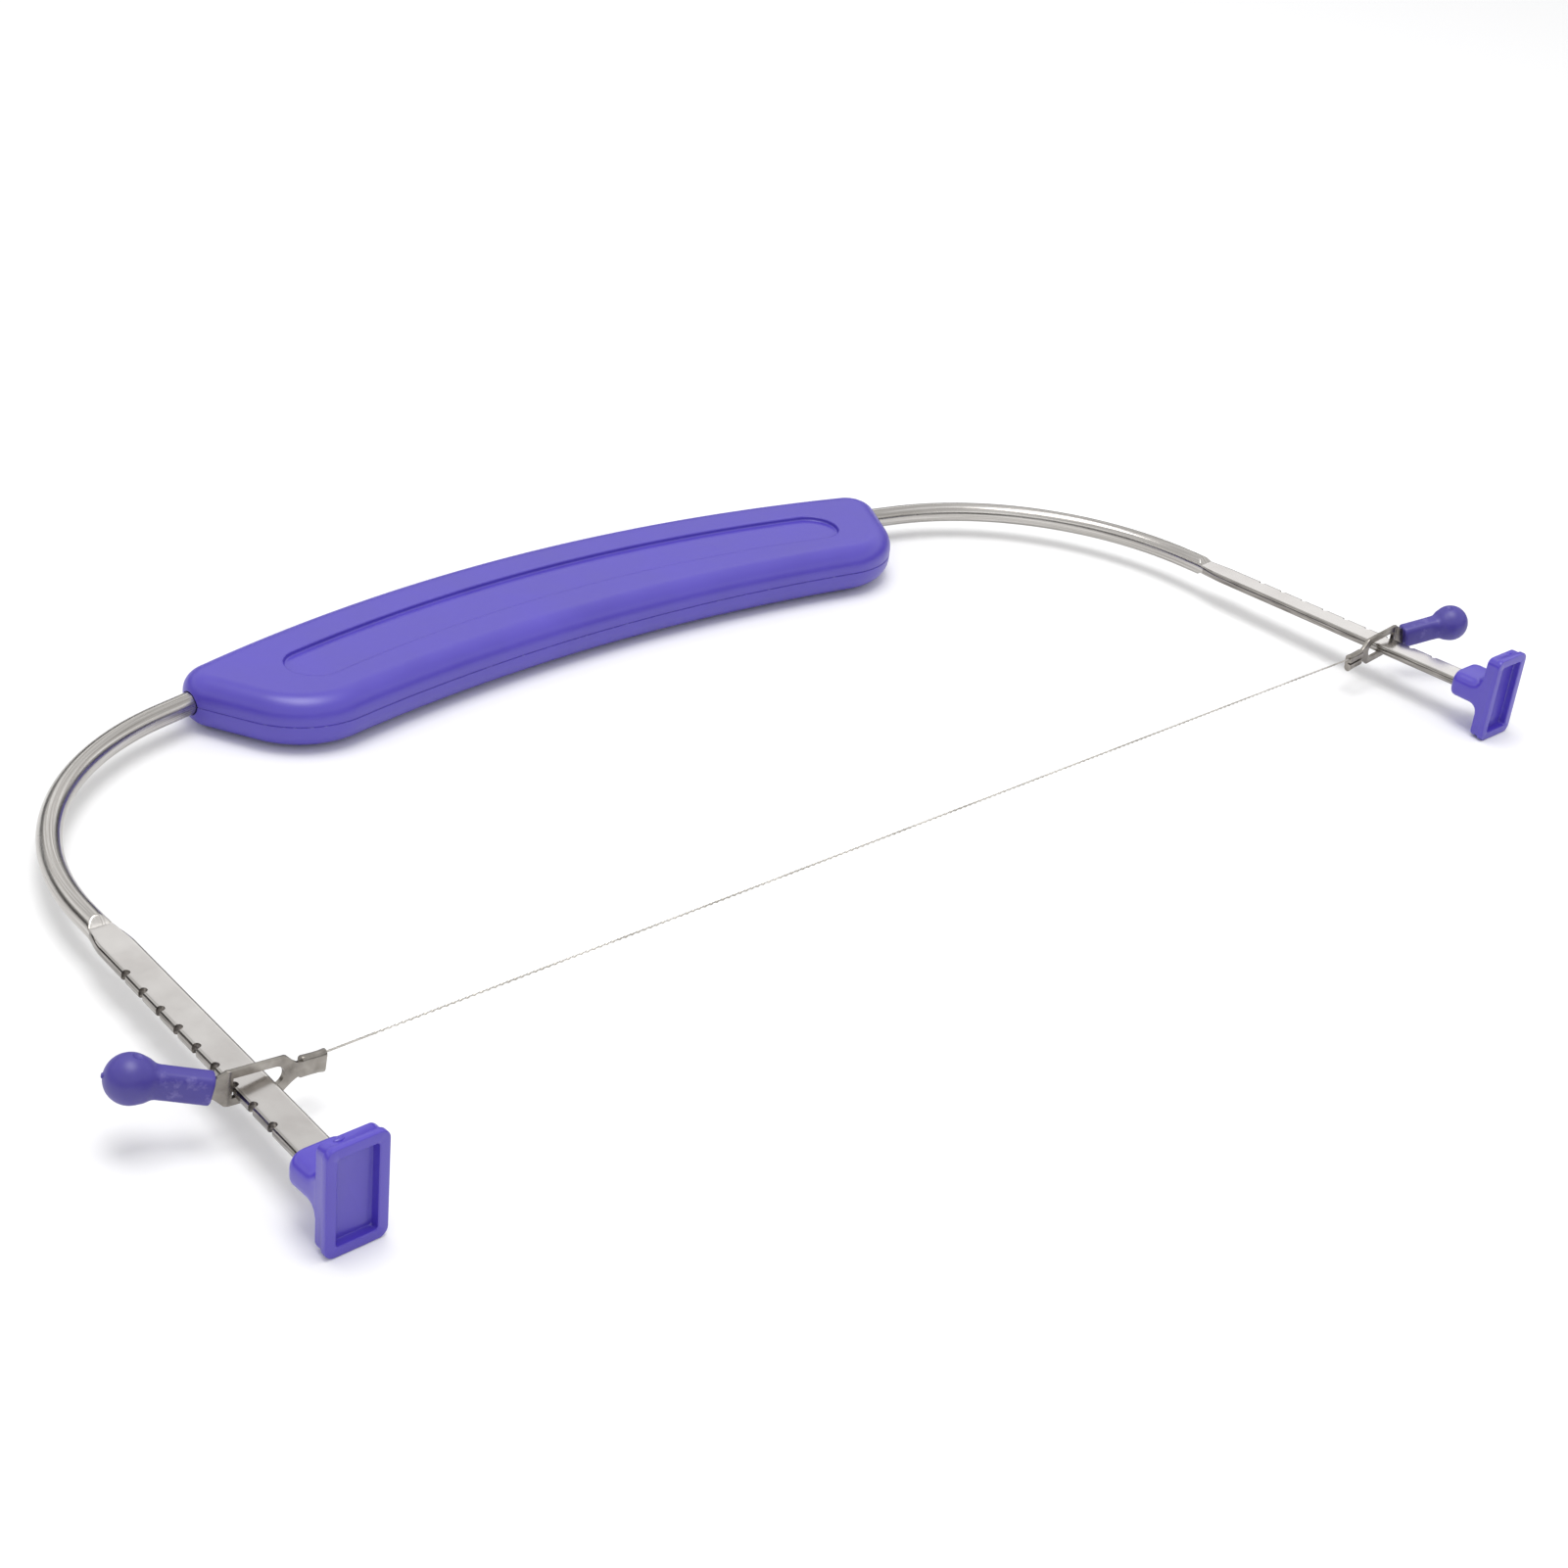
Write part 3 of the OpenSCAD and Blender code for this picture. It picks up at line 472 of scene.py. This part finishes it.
loft(hollow, [edge_ring(grip_edge, -SHELL_WALL, z) for z in (-1, SHELL_H - SHELL_WALL - PANEL_DEPTH)])
channel = bmesh.new()
channel_rings = []
for i in range(25):
    s = GRIP_HALF * (i / 12 - 1)
    normal = Vector((math.sin(s), math.cos(s), 0))
    ring = []
    for k in range(40):
        a = 2 * math.pi * k / 40
        out_from_centre = normal * (GRIP_BEND_R + CHANNEL_R * math.cos(a))
        ring.append(Vector((0, GRIP_C_Y, 0)) + out_from_centre + Vector((0, 0, CHANNEL_R * math.sin(a))))
    channel_rings.append(ring)
loft(channel, channel_rings)
shell = carve(shell, [hollow, channel])
lower = shell.copy()


def purple_abs(name, roughness, deep, pale):
    """Moulded purple ABS: fine spark-eroded grain, cloudy gloss, and pale rub marks where wear is set."""
    material, tree, out = new_material(name)
    place = add(tree, "ShaderNodeTexCoord").outputs["Object"]
    grain = add(tree, "ShaderNodeTexNoise", Vector=place, Scale=5200.0, Detail=2.0)
    cloud = add(tree, "ShaderNodeTexNoise", Vector=place, Scale=55.0, Detail=4.0, Roughness=0.6)
    worn = add(tree, "ShaderNodeAttribute", {"attribute_name": "wear"})
    spots = add(tree, "ShaderNodeTexNoise", Vector=place, Scale=420.0, Detail=3.0, Roughness=0.7)
    patchy = add(tree, "ShaderNodeMapRange", Value=spots.outputs["Fac"], From_Min=0.56, From_Max=0.74)
    rub = add(tree, "ShaderNodeMath", {"operation": "MULTIPLY"}, i0=worn.outputs["Fac"],
              i1=patchy.outputs["Result"])
    pigment = add(tree, "ShaderNodeValToRGB", Fac=cloud.outputs["Fac"])
    pigment.color_ramp.elements[0].position, pigment.color_ramp.elements[0].color = 0.3, linear(deep)
    pigment.color_ramp.elements[1].position, pigment.color_ramp.elements[1].color = 0.75, linear(pale)
    tint = add(tree, "ShaderNodeMix", {"data_type": "RGBA"}, i0=rub.outputs[0], i6=pigment.outputs["Color"],
               i7=linear("#A59DDA"))
    gloss = add(tree, "ShaderNodeMapRange", Value=cloud.outputs["Fac"], To_Min=roughness - 0.06,
                To_Max=roughness + 0.08)
    relief = add(tree, "ShaderNodeBump", Height=grain.outputs["Fac"], Strength=0.25, Distance=0.00003)
    plastic = add(tree, "ShaderNodeBsdfPrincipled", Base_Color=tint.outputs[2], IOR=1.53,
                  Roughness=gloss.outputs["Result"], Specular_IOR_Level=0.75,
                  Normal=relief.outputs["Normal"])
    tree.links.new(plastic.outputs[0], out.inputs[0])
    return material


# ABS for the grip: a satin gloss, with pale rubbing along the seam
grip_abs = purple_abs("satin purple ABS", 0.36, "#4535A9", "#4C3CB4")


def mark_wear(bm, wear):
    """Writes how worn each point is, 0 to 1, as found by a function of its place in millimetres."""
    layer = bm.verts.layers.float.new("wear")
    for vert in bm.verts:
        vert[layer] = wear(vert.co)


for shell_mesh, name, node, flip in ((shell, "grip_upper_shell", "handle_top_shell", 1),
                                     (lower, "grip_lower_shell", "handle_bottom_shell", -1)):
    mark_wear(shell_mesh, lambda co: 0.45 if co.z < 0.15 else 0.0)
    finish_piece(name, shell_mesh, [grip_abs], "bow", node, sharp=30,
                 place=Matrix.Scale(flip, 4, (0, 0, 1)))

# Feet
# Each foot is one ABS moulding: a stepped plate with a recessed working face, and a socket, pressed
# over the end of the leg, whose edges are rounded and run out into the plate in a fillet.
FOOT_W, FOOT_R, FOOT_D, STEP = 10.8, 1.7, 3.3, 0.3
RIM_W, RECESS_D, POCKET_ROOM = 1.9, 1.6, 0.06
SOCKET_Y, SOCKET_H, SOCKET_F, MOUTH_R, SOCKET_EDGE = 10.9, 5.6, 2.6, 1.6, 0.6


def round_ring(half_w, half_h, radius, corner=7):
    """A rectangle with round corners, as points of width and height."""
    points = []
    for q, (sx, sy) in enumerate(((1, 1), (-1, 1), (-1, -1), (1, -1))):
        for k in range(corner):
            angle = math.pi / 2 * (q + k / (corner - 1))
            points.append((sx * (half_w - radius) + radius * math.cos(angle),
                           sy * (half_h - radius) + radius * math.sin(angle)))
    return points


def foot_block():
    """The right foot round the middle of its working face, its depth along Y."""
    w, h = FOOT_W / 2, FOOT_H / 2
    profile = [(RIM_W + 0.35, RECESS_D), (RIM_W + 0.12, RECESS_D - 0.08), (RIM_W, RECESS_D - 0.3)]
    profile += [(RIM_W, 0.3), (RIM_W - 0.05, 0.12), (RIM_W - 0.22, 0)]
    profile += [(0.34, 0), (0.13, 0.05), (0.03, 0.16), (0, 0.36), (0, RIM_D - 0.16), (0.05, RIM_D - 0.04)]
    profile += [(STEP - 0.06, RIM_D), (STEP, RIM_D + 0.12), (STEP, FOOT_D - 0.4)]
    profile += [(STEP + 0.06, FOOT_D - 0.14), (STEP + 0.3, FOOT_D)]
    plate = bmesh.new()
    plate_rings = []
    for inset, y in profile:
        outline = round_ring(w - inset, h - inset, max(0.5, FOOT_R - inset * 0.75))
        plate_rings.append([Vector((x, y, z)) for x, z in outline])
    loft(plate, plate_rings)
    socket = bmesh.new()
    rings = []
    for i in range(31):
        y = FOOT_D - 0.4 + (SOCKET_Y - FOOT_D + 0.4) * s_curve(1 - i / 30)
        half_h = SOCKET_H / 2
        if y < FOOT_D + SOCKET_F:
            half_h += SOCKET_F - math.sqrt(max(0, SOCKET_F**2 - (FOOT_D + SOCKET_F - max(y, FOOT_D)) ** 2))
        half_w = w - STEP - 0.03
        mouth = max(0, y - SOCKET_Y + MOUTH_R)
        half_w -= MOUTH_R - math.sqrt(MOUTH_R**2 - mouth**2)
        soften = max(0, y - SOCKET_Y + SOCKET_EDGE)
        half_h -= SOCKET_EDGE - math.sqrt(max(0, SOCKET_EDGE**2 - soften**2))
        rings.append([Vector((x, y, z)) for x, z in round_ring(half_w, half_h, min(2.1, half_h * 0.8))])
    loft(socket, rings)
    gate = bmesh.new()
    mark = Matrix.Translation((1.9, 2.35, h - STEP - 0.05)) @ Matrix.Diagonal((0.95, 0.5, 0.32, 1))
    bmesh.ops.create_icosphere(gate, subdivisions=3, radius=1, matrix=mark)
    return carve(plate, [socket, gate], "UNION")


pocket = bmesh.new()
pocket_outline = round_ring(LEG_HALF_W + POCKET_ROOM, LEG_HALF_T + POCKET_ROOM, LEG_EDGE)
loft(pocket, [[leg_frame @ Vector((x, y, z)) for x, z in pocket_outline] for y in (LEG_START_Y - 0.05, 14)])
foot = foot_block()
bmesh.ops.translate(foot, vec=(FOOT_X, 0, 0), verts=foot.verts)
foot = carve(foot, [pocket])
mark_wear(foot, lambda co: 0.0)
left_foot_mesh = foot.copy()

# ABS for the feet: nearly the grip's purple, a little glossier
foot_abs = purple_abs("glossy purple ABS", 0.3, "#4735B0", "#4E3DBB")
finish_piece("right_foot_moulding", foot, [foot_abs], "bow", "right_foot", sharp=32)
finish_piece("left_foot_moulding", left_foot_mesh, [foot_abs], "bow", "left_foot", sharp=32,
             place=Matrix.Scale(-1, 4, (1, 0, 0)))

# Clips
# Stamped from 0.8 mm stainless sheet: a slot that hooks over the leg, a neck bent for the knob,
# and a tab whose edges are folded over the wire and pressed flat. Tumbled, so it is satin.
SHEET_T, SLOT_L, SLOT_H, CLIP_H = 0.8, 9.0, 3.5, 6.2
NECK_U, NECK_TAPER, NECK_TAIL, NECK_W = 0.5, 2.6, 4.5, 3.1
NECK_BEND, LEAN = math.radians(26), math.radians(6.5)
WAIST_TAPER, WAIST_H = 2.3, 2.6
CRIMP_L, CRIMP_H, CRIMP_GAP = 4.3, 3.8, 0.35
CRIMP_U = SLOT_L + WAIST_TAPER + 0.9
WIRE_R, WIRE_GAP, WIRE_ROOM, HELD_L = 0.2, 0.05, 0.25, 3.6
HOOK_GAP, CLIP_RISE, SET_NOTCH = 0.06, 0.35, 3
SET_Y = NOTCH_LOW + (SET_NOTCH - 1) * PITCH * math.cos(SPLAY)
leg_x = FOOT_X - SET_Y * math.tan(SPLAY)
# The clip hooks over the leg's outer edge, and its tab holds the wire's end. To the micrometre:
HOOK_X = round(leg_x + LEG_HALF_W / math.cos(SPLAY) + HOOK_GAP + SHEET_T / 2 * math.tan(SPLAY), 3)
HOOK_Z = round(CLIP_RISE + (HOOK_X - leg_x) * math.tan(LEAN), 3)
WIRE_END = round(HOOK_X - (CRIMP_U + CRIMP_L) * math.cos(LEAN) + HELD_L, 3)
clip_frame = Matrix.Translation((HOOK_X, SET_Y, HOOK_Z)) @ Matrix.Rotation(-LEAN, 4, "Y")
neck_frame = clip_frame @ Matrix.Translation((NECK_U, 0, 0)) @ Matrix.Rotation(-NECK_BEND, 4, "Z")
turned = Matrix.Translation((0, 2 * SET_Y, 0)) @ Matrix.Rotation(math.pi, 4, "Z")


def strip_ring(frame, x, half_h):
    """Section of the sheet strip at one place along it, with burnished edges."""
    return [frame @ Vector((x, y, z)) for y, z in round_ring(SHEET_T / 2, half_h, 0.14, corner=4)]


h = CLIP_H / 2
waist_u = SLOT_L + WAIST_TAPER
slot_half = [(-CRIMP_U - 1.5, WAIST_H / 2), (-waist_u - 0.3, WAIST_H / 2), (-waist_u, WAIST_H / 2 + 0.04)]
slot_half += [(-SLOT_L - WAIST_TAPER * 0.66, 1.86), (-SLOT_L - WAIST_TAPER * 0.33, 2.5)]
slot_half += [(-SLOT_L - 0.25, h - 0.12), (-SLOT_L + 0.15, h), (-6, h), (-3, h), (-0.1, h)]
body_rings = [strip_ring(clip_frame, x, half) for x, half in slot_half]
reach = 0.45 * math.tan(NECK_BEND / 2) / (NECK_BEND / 2)
for i in range(9):
    turn = NECK_BEND * i / 8
    bend = clip_frame @ Matrix.Translation((NECK_U, 0, 0)) @ Matrix.Rotation(-turn, 4, "Z")
    body_rings.append(strip_ring(bend, -reach * (1 - i / 8) + reach * i / 8, h - 0.06 * i / 8))
neck_half = [(0.55, h - 0.12), (1.2, 2.45), (2.0, 1.88), (NECK_TAPER, NECK_W / 2 + 0.06)]
neck_half += [(NECK_TAPER + 0.4, NECK_W / 2), (NECK_TAPER + NECK_TAIL, NECK_W / 2)]
body_rings += [strip_ring(neck_frame, x, half) for x, half in neck_half]
clip = bmesh.new()
loft(clip, body_rings)

fold_depth = CRIMP_H / 2 - SHEET_T
lap = [(SHEET_T / 2, -fold_depth), (SHEET_T / 2, -0.4), (SHEET_T / 2, 0.4), (SHEET_T / 2, fold_depth)]
upper_fold = [(-SHEET_T / 2 + SHEET_T * math.cos(a), fold_depth + SHEET_T * math.sin(a))
              for a in (math.pi * k / 12 for k in range(1, 12))]
half_gap = CRIMP_GAP / 2
lip_end = [(-1.5 * SHEET_T, fold_depth), (-1.5 * SHEET_T, half_gap + 0.14)]
lip_end += [(-1.44 * SHEET_T, half_gap + 0.04), (-1.3 * SHEET_T, half_gap), (-0.55 * SHEET_T, half_gap)]
section = lap + upper_fold + lip_end
section += [(y, -z) for y, z in reversed(lip_end)] + [(y, -z) for y, z in reversed(upper_fold)]
crimp = bmesh.new()
crimp_end = -CRIMP_U - CRIMP_L
swells = [(crimp_end, 1.06), (crimp_end + 0.12, 1.08), (crimp_end + 1.0, 1.0), (crimp_end + 2.2, 0.985)]
swells += [(-CRIMP_U - 1.0, 1.0), (-CRIMP_U - 0.12, 1.01), (-CRIMP_U, 0.97)]
loft(crimp, [[clip_frame @ Vector((x, y, z * swell)) for y, z in section] for x, swell in swells])

slot_cut = bmesh.new()
slot_r = SLOT_H / 2
slot_edge = [(0.0, -slot_r), (0.0, slot_r)]
slot_edge += [(-SLOT_L + slot_r - slot_r * math.sin(a), slot_r * math.cos(a))
              for a in (math.pi * k / 20 for k in range(21))]
loft(slot_cut, [[clip_frame @ Vector((x, y, z)) for x, z in slot_edge] for y in (-2, 2)])
wire_path = bmesh.new()
# The wire lies against the outside of each tab, so it crosses the tool's middle at a slight slant
slant = (SHEET_T / 2 + WIRE_GAP + WIRE_R) / WIRE_END
loft(wire_path, [[Vector((x, SET_Y - x * slant + WIRE_ROOM * math.cos(a), WIRE_ROOM * math.sin(a)))
                  for a in (2 * math.pi * k / 16 for k in range(16))] for x in (120, HOOK_X)])
clip = carve(carve(clip, [crimp], "UNION"), [slot_cut, wire_path])

# Tumbled stainless sheet: rolling lines along the strip under a cloudy satin, grey from handling
satin_sheet, tree, out = new_material("tumbled stainless sheet")
place = add(tree, "ShaderNodeTexCoord").outputs["Object"]
rolled = add(tree, "ShaderNodeMapping", Vector=place, Scale=(60.0, 900.0, 900.0))
rolling = add(tree, "ShaderNodeTexNoise", Vector=rolled.outputs[0], Scale=1.0, Detail=4.0, Roughness=0.6)
cloudy = add(tree, "ShaderNodeTexNoise", Vector=place, Scale=260.0, Detail=4.0)
warm = add(tree, "ShaderNodeValToRGB", Fac=cloudy.outputs["Fac"])
warm.color_ramp.elements[0].position, warm.color_ramp.elements[0].color = 0.3, linear("#77726C")
warm.color_ramp.elements[1].position, warm.color_ramp.elements[1].color = 0.72, linear("#ABA69F")
satin = add(tree, "ShaderNodeMapRange", Value=cloudy.outputs["Fac"], To_Min=0.2, To_Max=0.4)
press = add(tree, "ShaderNodeBump", Height=rolling.outputs["Fac"], Strength=0.3, Distance=0.00004)
sheet_steel = add(tree, "ShaderNodeBsdfPrincipled", Base_Color=warm.outputs["Color"], Metallic=1.0,
                  Roughness=satin.outputs["Result"], Normal=press.outputs["Normal"])
tree.links.new(sheet_steel.outputs[0], out.inputs[0])
left_clip_mesh = clip.copy()
finish_piece("right_hook_clip", clip, [satin_sheet], "right_hook", "right_clip", sharp=30)
finish_piece("left_hook_clip", left_clip_mesh, [satin_sheet], "left_hook", "left_clip",
             sharp=30, place=turned)

# Knobs
# One ABS moulding over the neck of each clip: a flat stem that flows into a ball through a hollow
# neck. The ball has a faint dimple above and below, and the mark of the gate at its tip.
STEM_T, STEM_H, STEM_L, BALL_R, BOX = 3.8, 5.2, 12.0, 3.95, 0.75
STEM_START, DIMPLE_R, DIMPLE_D = 0.45, 1.6, 0.34
KNOB_RISE, KNOB_SIDE = math.radians(15), math.radians(26)
knob_tilt = Euler((0, LEAN - KNOB_RISE, NECK_BEND - KNOB_SIDE), "XYZ").to_matrix().to_4x4()
knob_frame = neck_frame @ Matrix.Translation((NECK_TAPER - 0.3, 0, 0)) @ knob_tilt


def knob_ring(x, half_t, half_h, squareness):
    """Section of the knob, a smooth oval whose corners fill out as squareness rises from 0."""
    power = 1 / (1 + squareness)
    ring = []
    for k in range(48):
        c, d = math.cos(2 * math.pi * k / 48), math.sin(2 * math.pi * k / 48)
        y, z = math.copysign(abs(c) ** power, c), math.copysign(abs(d) ** power, d)
        ring.append(Vector((x, half_t * y, half_h * z)))
    return ring


knob = bmesh.new()
stem_half_t, stem_half_h = STEM_T / 2, STEM_H / 2 - 0.1
knob_rings = [knob_ring(x, stem_half_t - inset, stem_half_h - inset, BOX)
              for x, inset in ((0, 0.5), (0.05, 0.26), (0.2, 0.08), (STEM_START, 0))]
reach = STEM_L + BALL_R * 0.993 - STEM_START
for i in range(1, 57):
    x = STEM_START + reach * (s_curve(1 - i / 56) if i > 28 else i / 56)
    ball = math.sqrt(max(0, BALL_R**2 - (x - STEM_L) ** 2)) if x > STEM_L - BALL_R else 0
    swell = 1 - s_curve((x - 6.0) / 4.6)
    half_t = stem_half_t + (2.55 - stem_half_t) * swell if x < STEM_L else 0
    half_h = stem_half_h if x < STEM_L else 0
    if x < STEM_L - 1.4:
        room = 0.5 * swell * s_curve((x - 9.2) / 1.4)
        half_t = 0.5 * (half_t + ball + math.sqrt((half_t - ball) ** 2 + room))
        half_h = 0.5 * (half_h + ball + math.sqrt((half_h - ball) ** 2 + room))
    squareness = BOX * (1 - swell) if x < STEM_L else 0
    knob_rings.append(knob_ring(x, max(half_t, ball), max(half_h, ball), squareness))
tip = STEM_L + BALL_R - 0.01
gate_nub = ((-0.03, 0.47), (0.13, 0.42), (0.22, 0.33), (0.26, 0.12))
knob_rings += [knob_ring(tip + dx, r, r, 0) for dx, r in gate_nub]
loft(knob, knob_rings)
knob.transform(knob_frame)
hollow_neck = bmesh.new()
neck_ends = (NECK_TAPER - 1, NECK_TAPER + NECK_TAIL + 0.02)
loft(hollow_neck, [strip_ring(neck_frame, x, NECK_W / 2 + 0.02) for x in neck_ends])
dimples = []
for side in (-1, 1):
    dimple = bmesh.new()
    dimple_at = Matrix.Translation((STEM_L - 0.4, 0, side * (BALL_R + DIMPLE_R - DIMPLE_D)))
    bmesh.ops.create_icosphere(dimple, subdivisions=4, radius=DIMPLE_R, matrix=knob_frame @ dimple_at)
    dimples.append(dimple)
knob = carve(knob, [hollow_neck, *dimples])
from_knob = knob_frame.inverted()
mark_wear(knob, lambda co: 0.3 * s_curve(((from_knob @ co).x - 6) / 4))
left_knob_mesh = knob.copy()

# ABS for the knobs: a darker copy of the grip's purple, as painted shade on the knobs; duller from the
# fingers, with pale nicks along the stem
knob_abs = purple_abs("handled purple ABS", 0.45, "#372A8C", "#3E3098")
finish_piece("right_knob_moulding", knob, [knob_abs], "right_hook", "right_knob", sharp=24)
finish_piece("left_knob_moulding", left_knob_mesh, [knob_abs], "left_hook", "left_knob",
             sharp=24, place=turned)

# Cutting wire
# Stainless wire, rolled flat and twisted between plain round ends, so its edges cut like fine teeth.
# From a distance the turns of the twist show as a row of short grey dashes.
TWIST_R, TWIST_PITCH, FLATNESS, PLAIN_L = 0.25, 2.7, 0.42, 9.0
TWIST_END = WIRE_END - HELD_L - PLAIN_L
wire_rings = []
station = -WIRE_END
while station < WIRE_END + 0.001:
    inner = min(1, max(0, (TWIST_END - abs(station)) / 0.8))
    turn = 2 * math.pi * station / TWIST_PITCH
    flat = TWIST_R * FLATNESS * inner + WIRE_R * (1 - inner)
    wide = TWIST_R * inner + WIRE_R * (1 - inner)
    centre_y = SET_Y - station * slant
    ring = []
    for k in range(10):
        a = 2 * math.pi * k / 10
        u, v = wide * math.cos(a), flat * math.sin(a)
        y, z = u * math.cos(turn) - v * math.sin(turn), u * math.sin(turn) + v * math.cos(turn)
        ring.append(Vector((station, centre_y + y, z)))
    wire_rings.append(ring)
    station += 0.16 if abs(station) < TWIST_END + 0.2 else 0.7
wire = bmesh.new()
loft(wire, wire_rings)

# Bright-drawn stainless wire: a soft shine that the twist breaks up, with grey smears of handling
bright_wire, tree, out = new_material("bright drawn stainless wire")
place = add(tree, "ShaderNodeTexCoord").outputs["Object"]
smear = add(tree, "ShaderNodeTexNoise", Vector=place, Scale=140.0, Detail=3.0)
grey = add(tree, "ShaderNodeValToRGB", Fac=smear.outputs["Fac"])
grey.color_ramp.elements[0].position, grey.color_ramp.elements[0].color = 0.35, linear("#B9B5AE")
grey.color_ramp.elements[1].position, grey.color_ramp.elements[1].color = 0.65, linear("#DEDAD3")
drawn_steel = add(tree, "ShaderNodeBsdfPrincipled", Base_Color=grey.outputs["Color"], Metallic=1.0,
                  Roughness=0.4)
tree.links.new(drawn_steel.outputs[0], out.inputs[0])
finish_piece("twisted_wire", wire, [bright_wire], "wire", "cutting_wire", sharp=50)
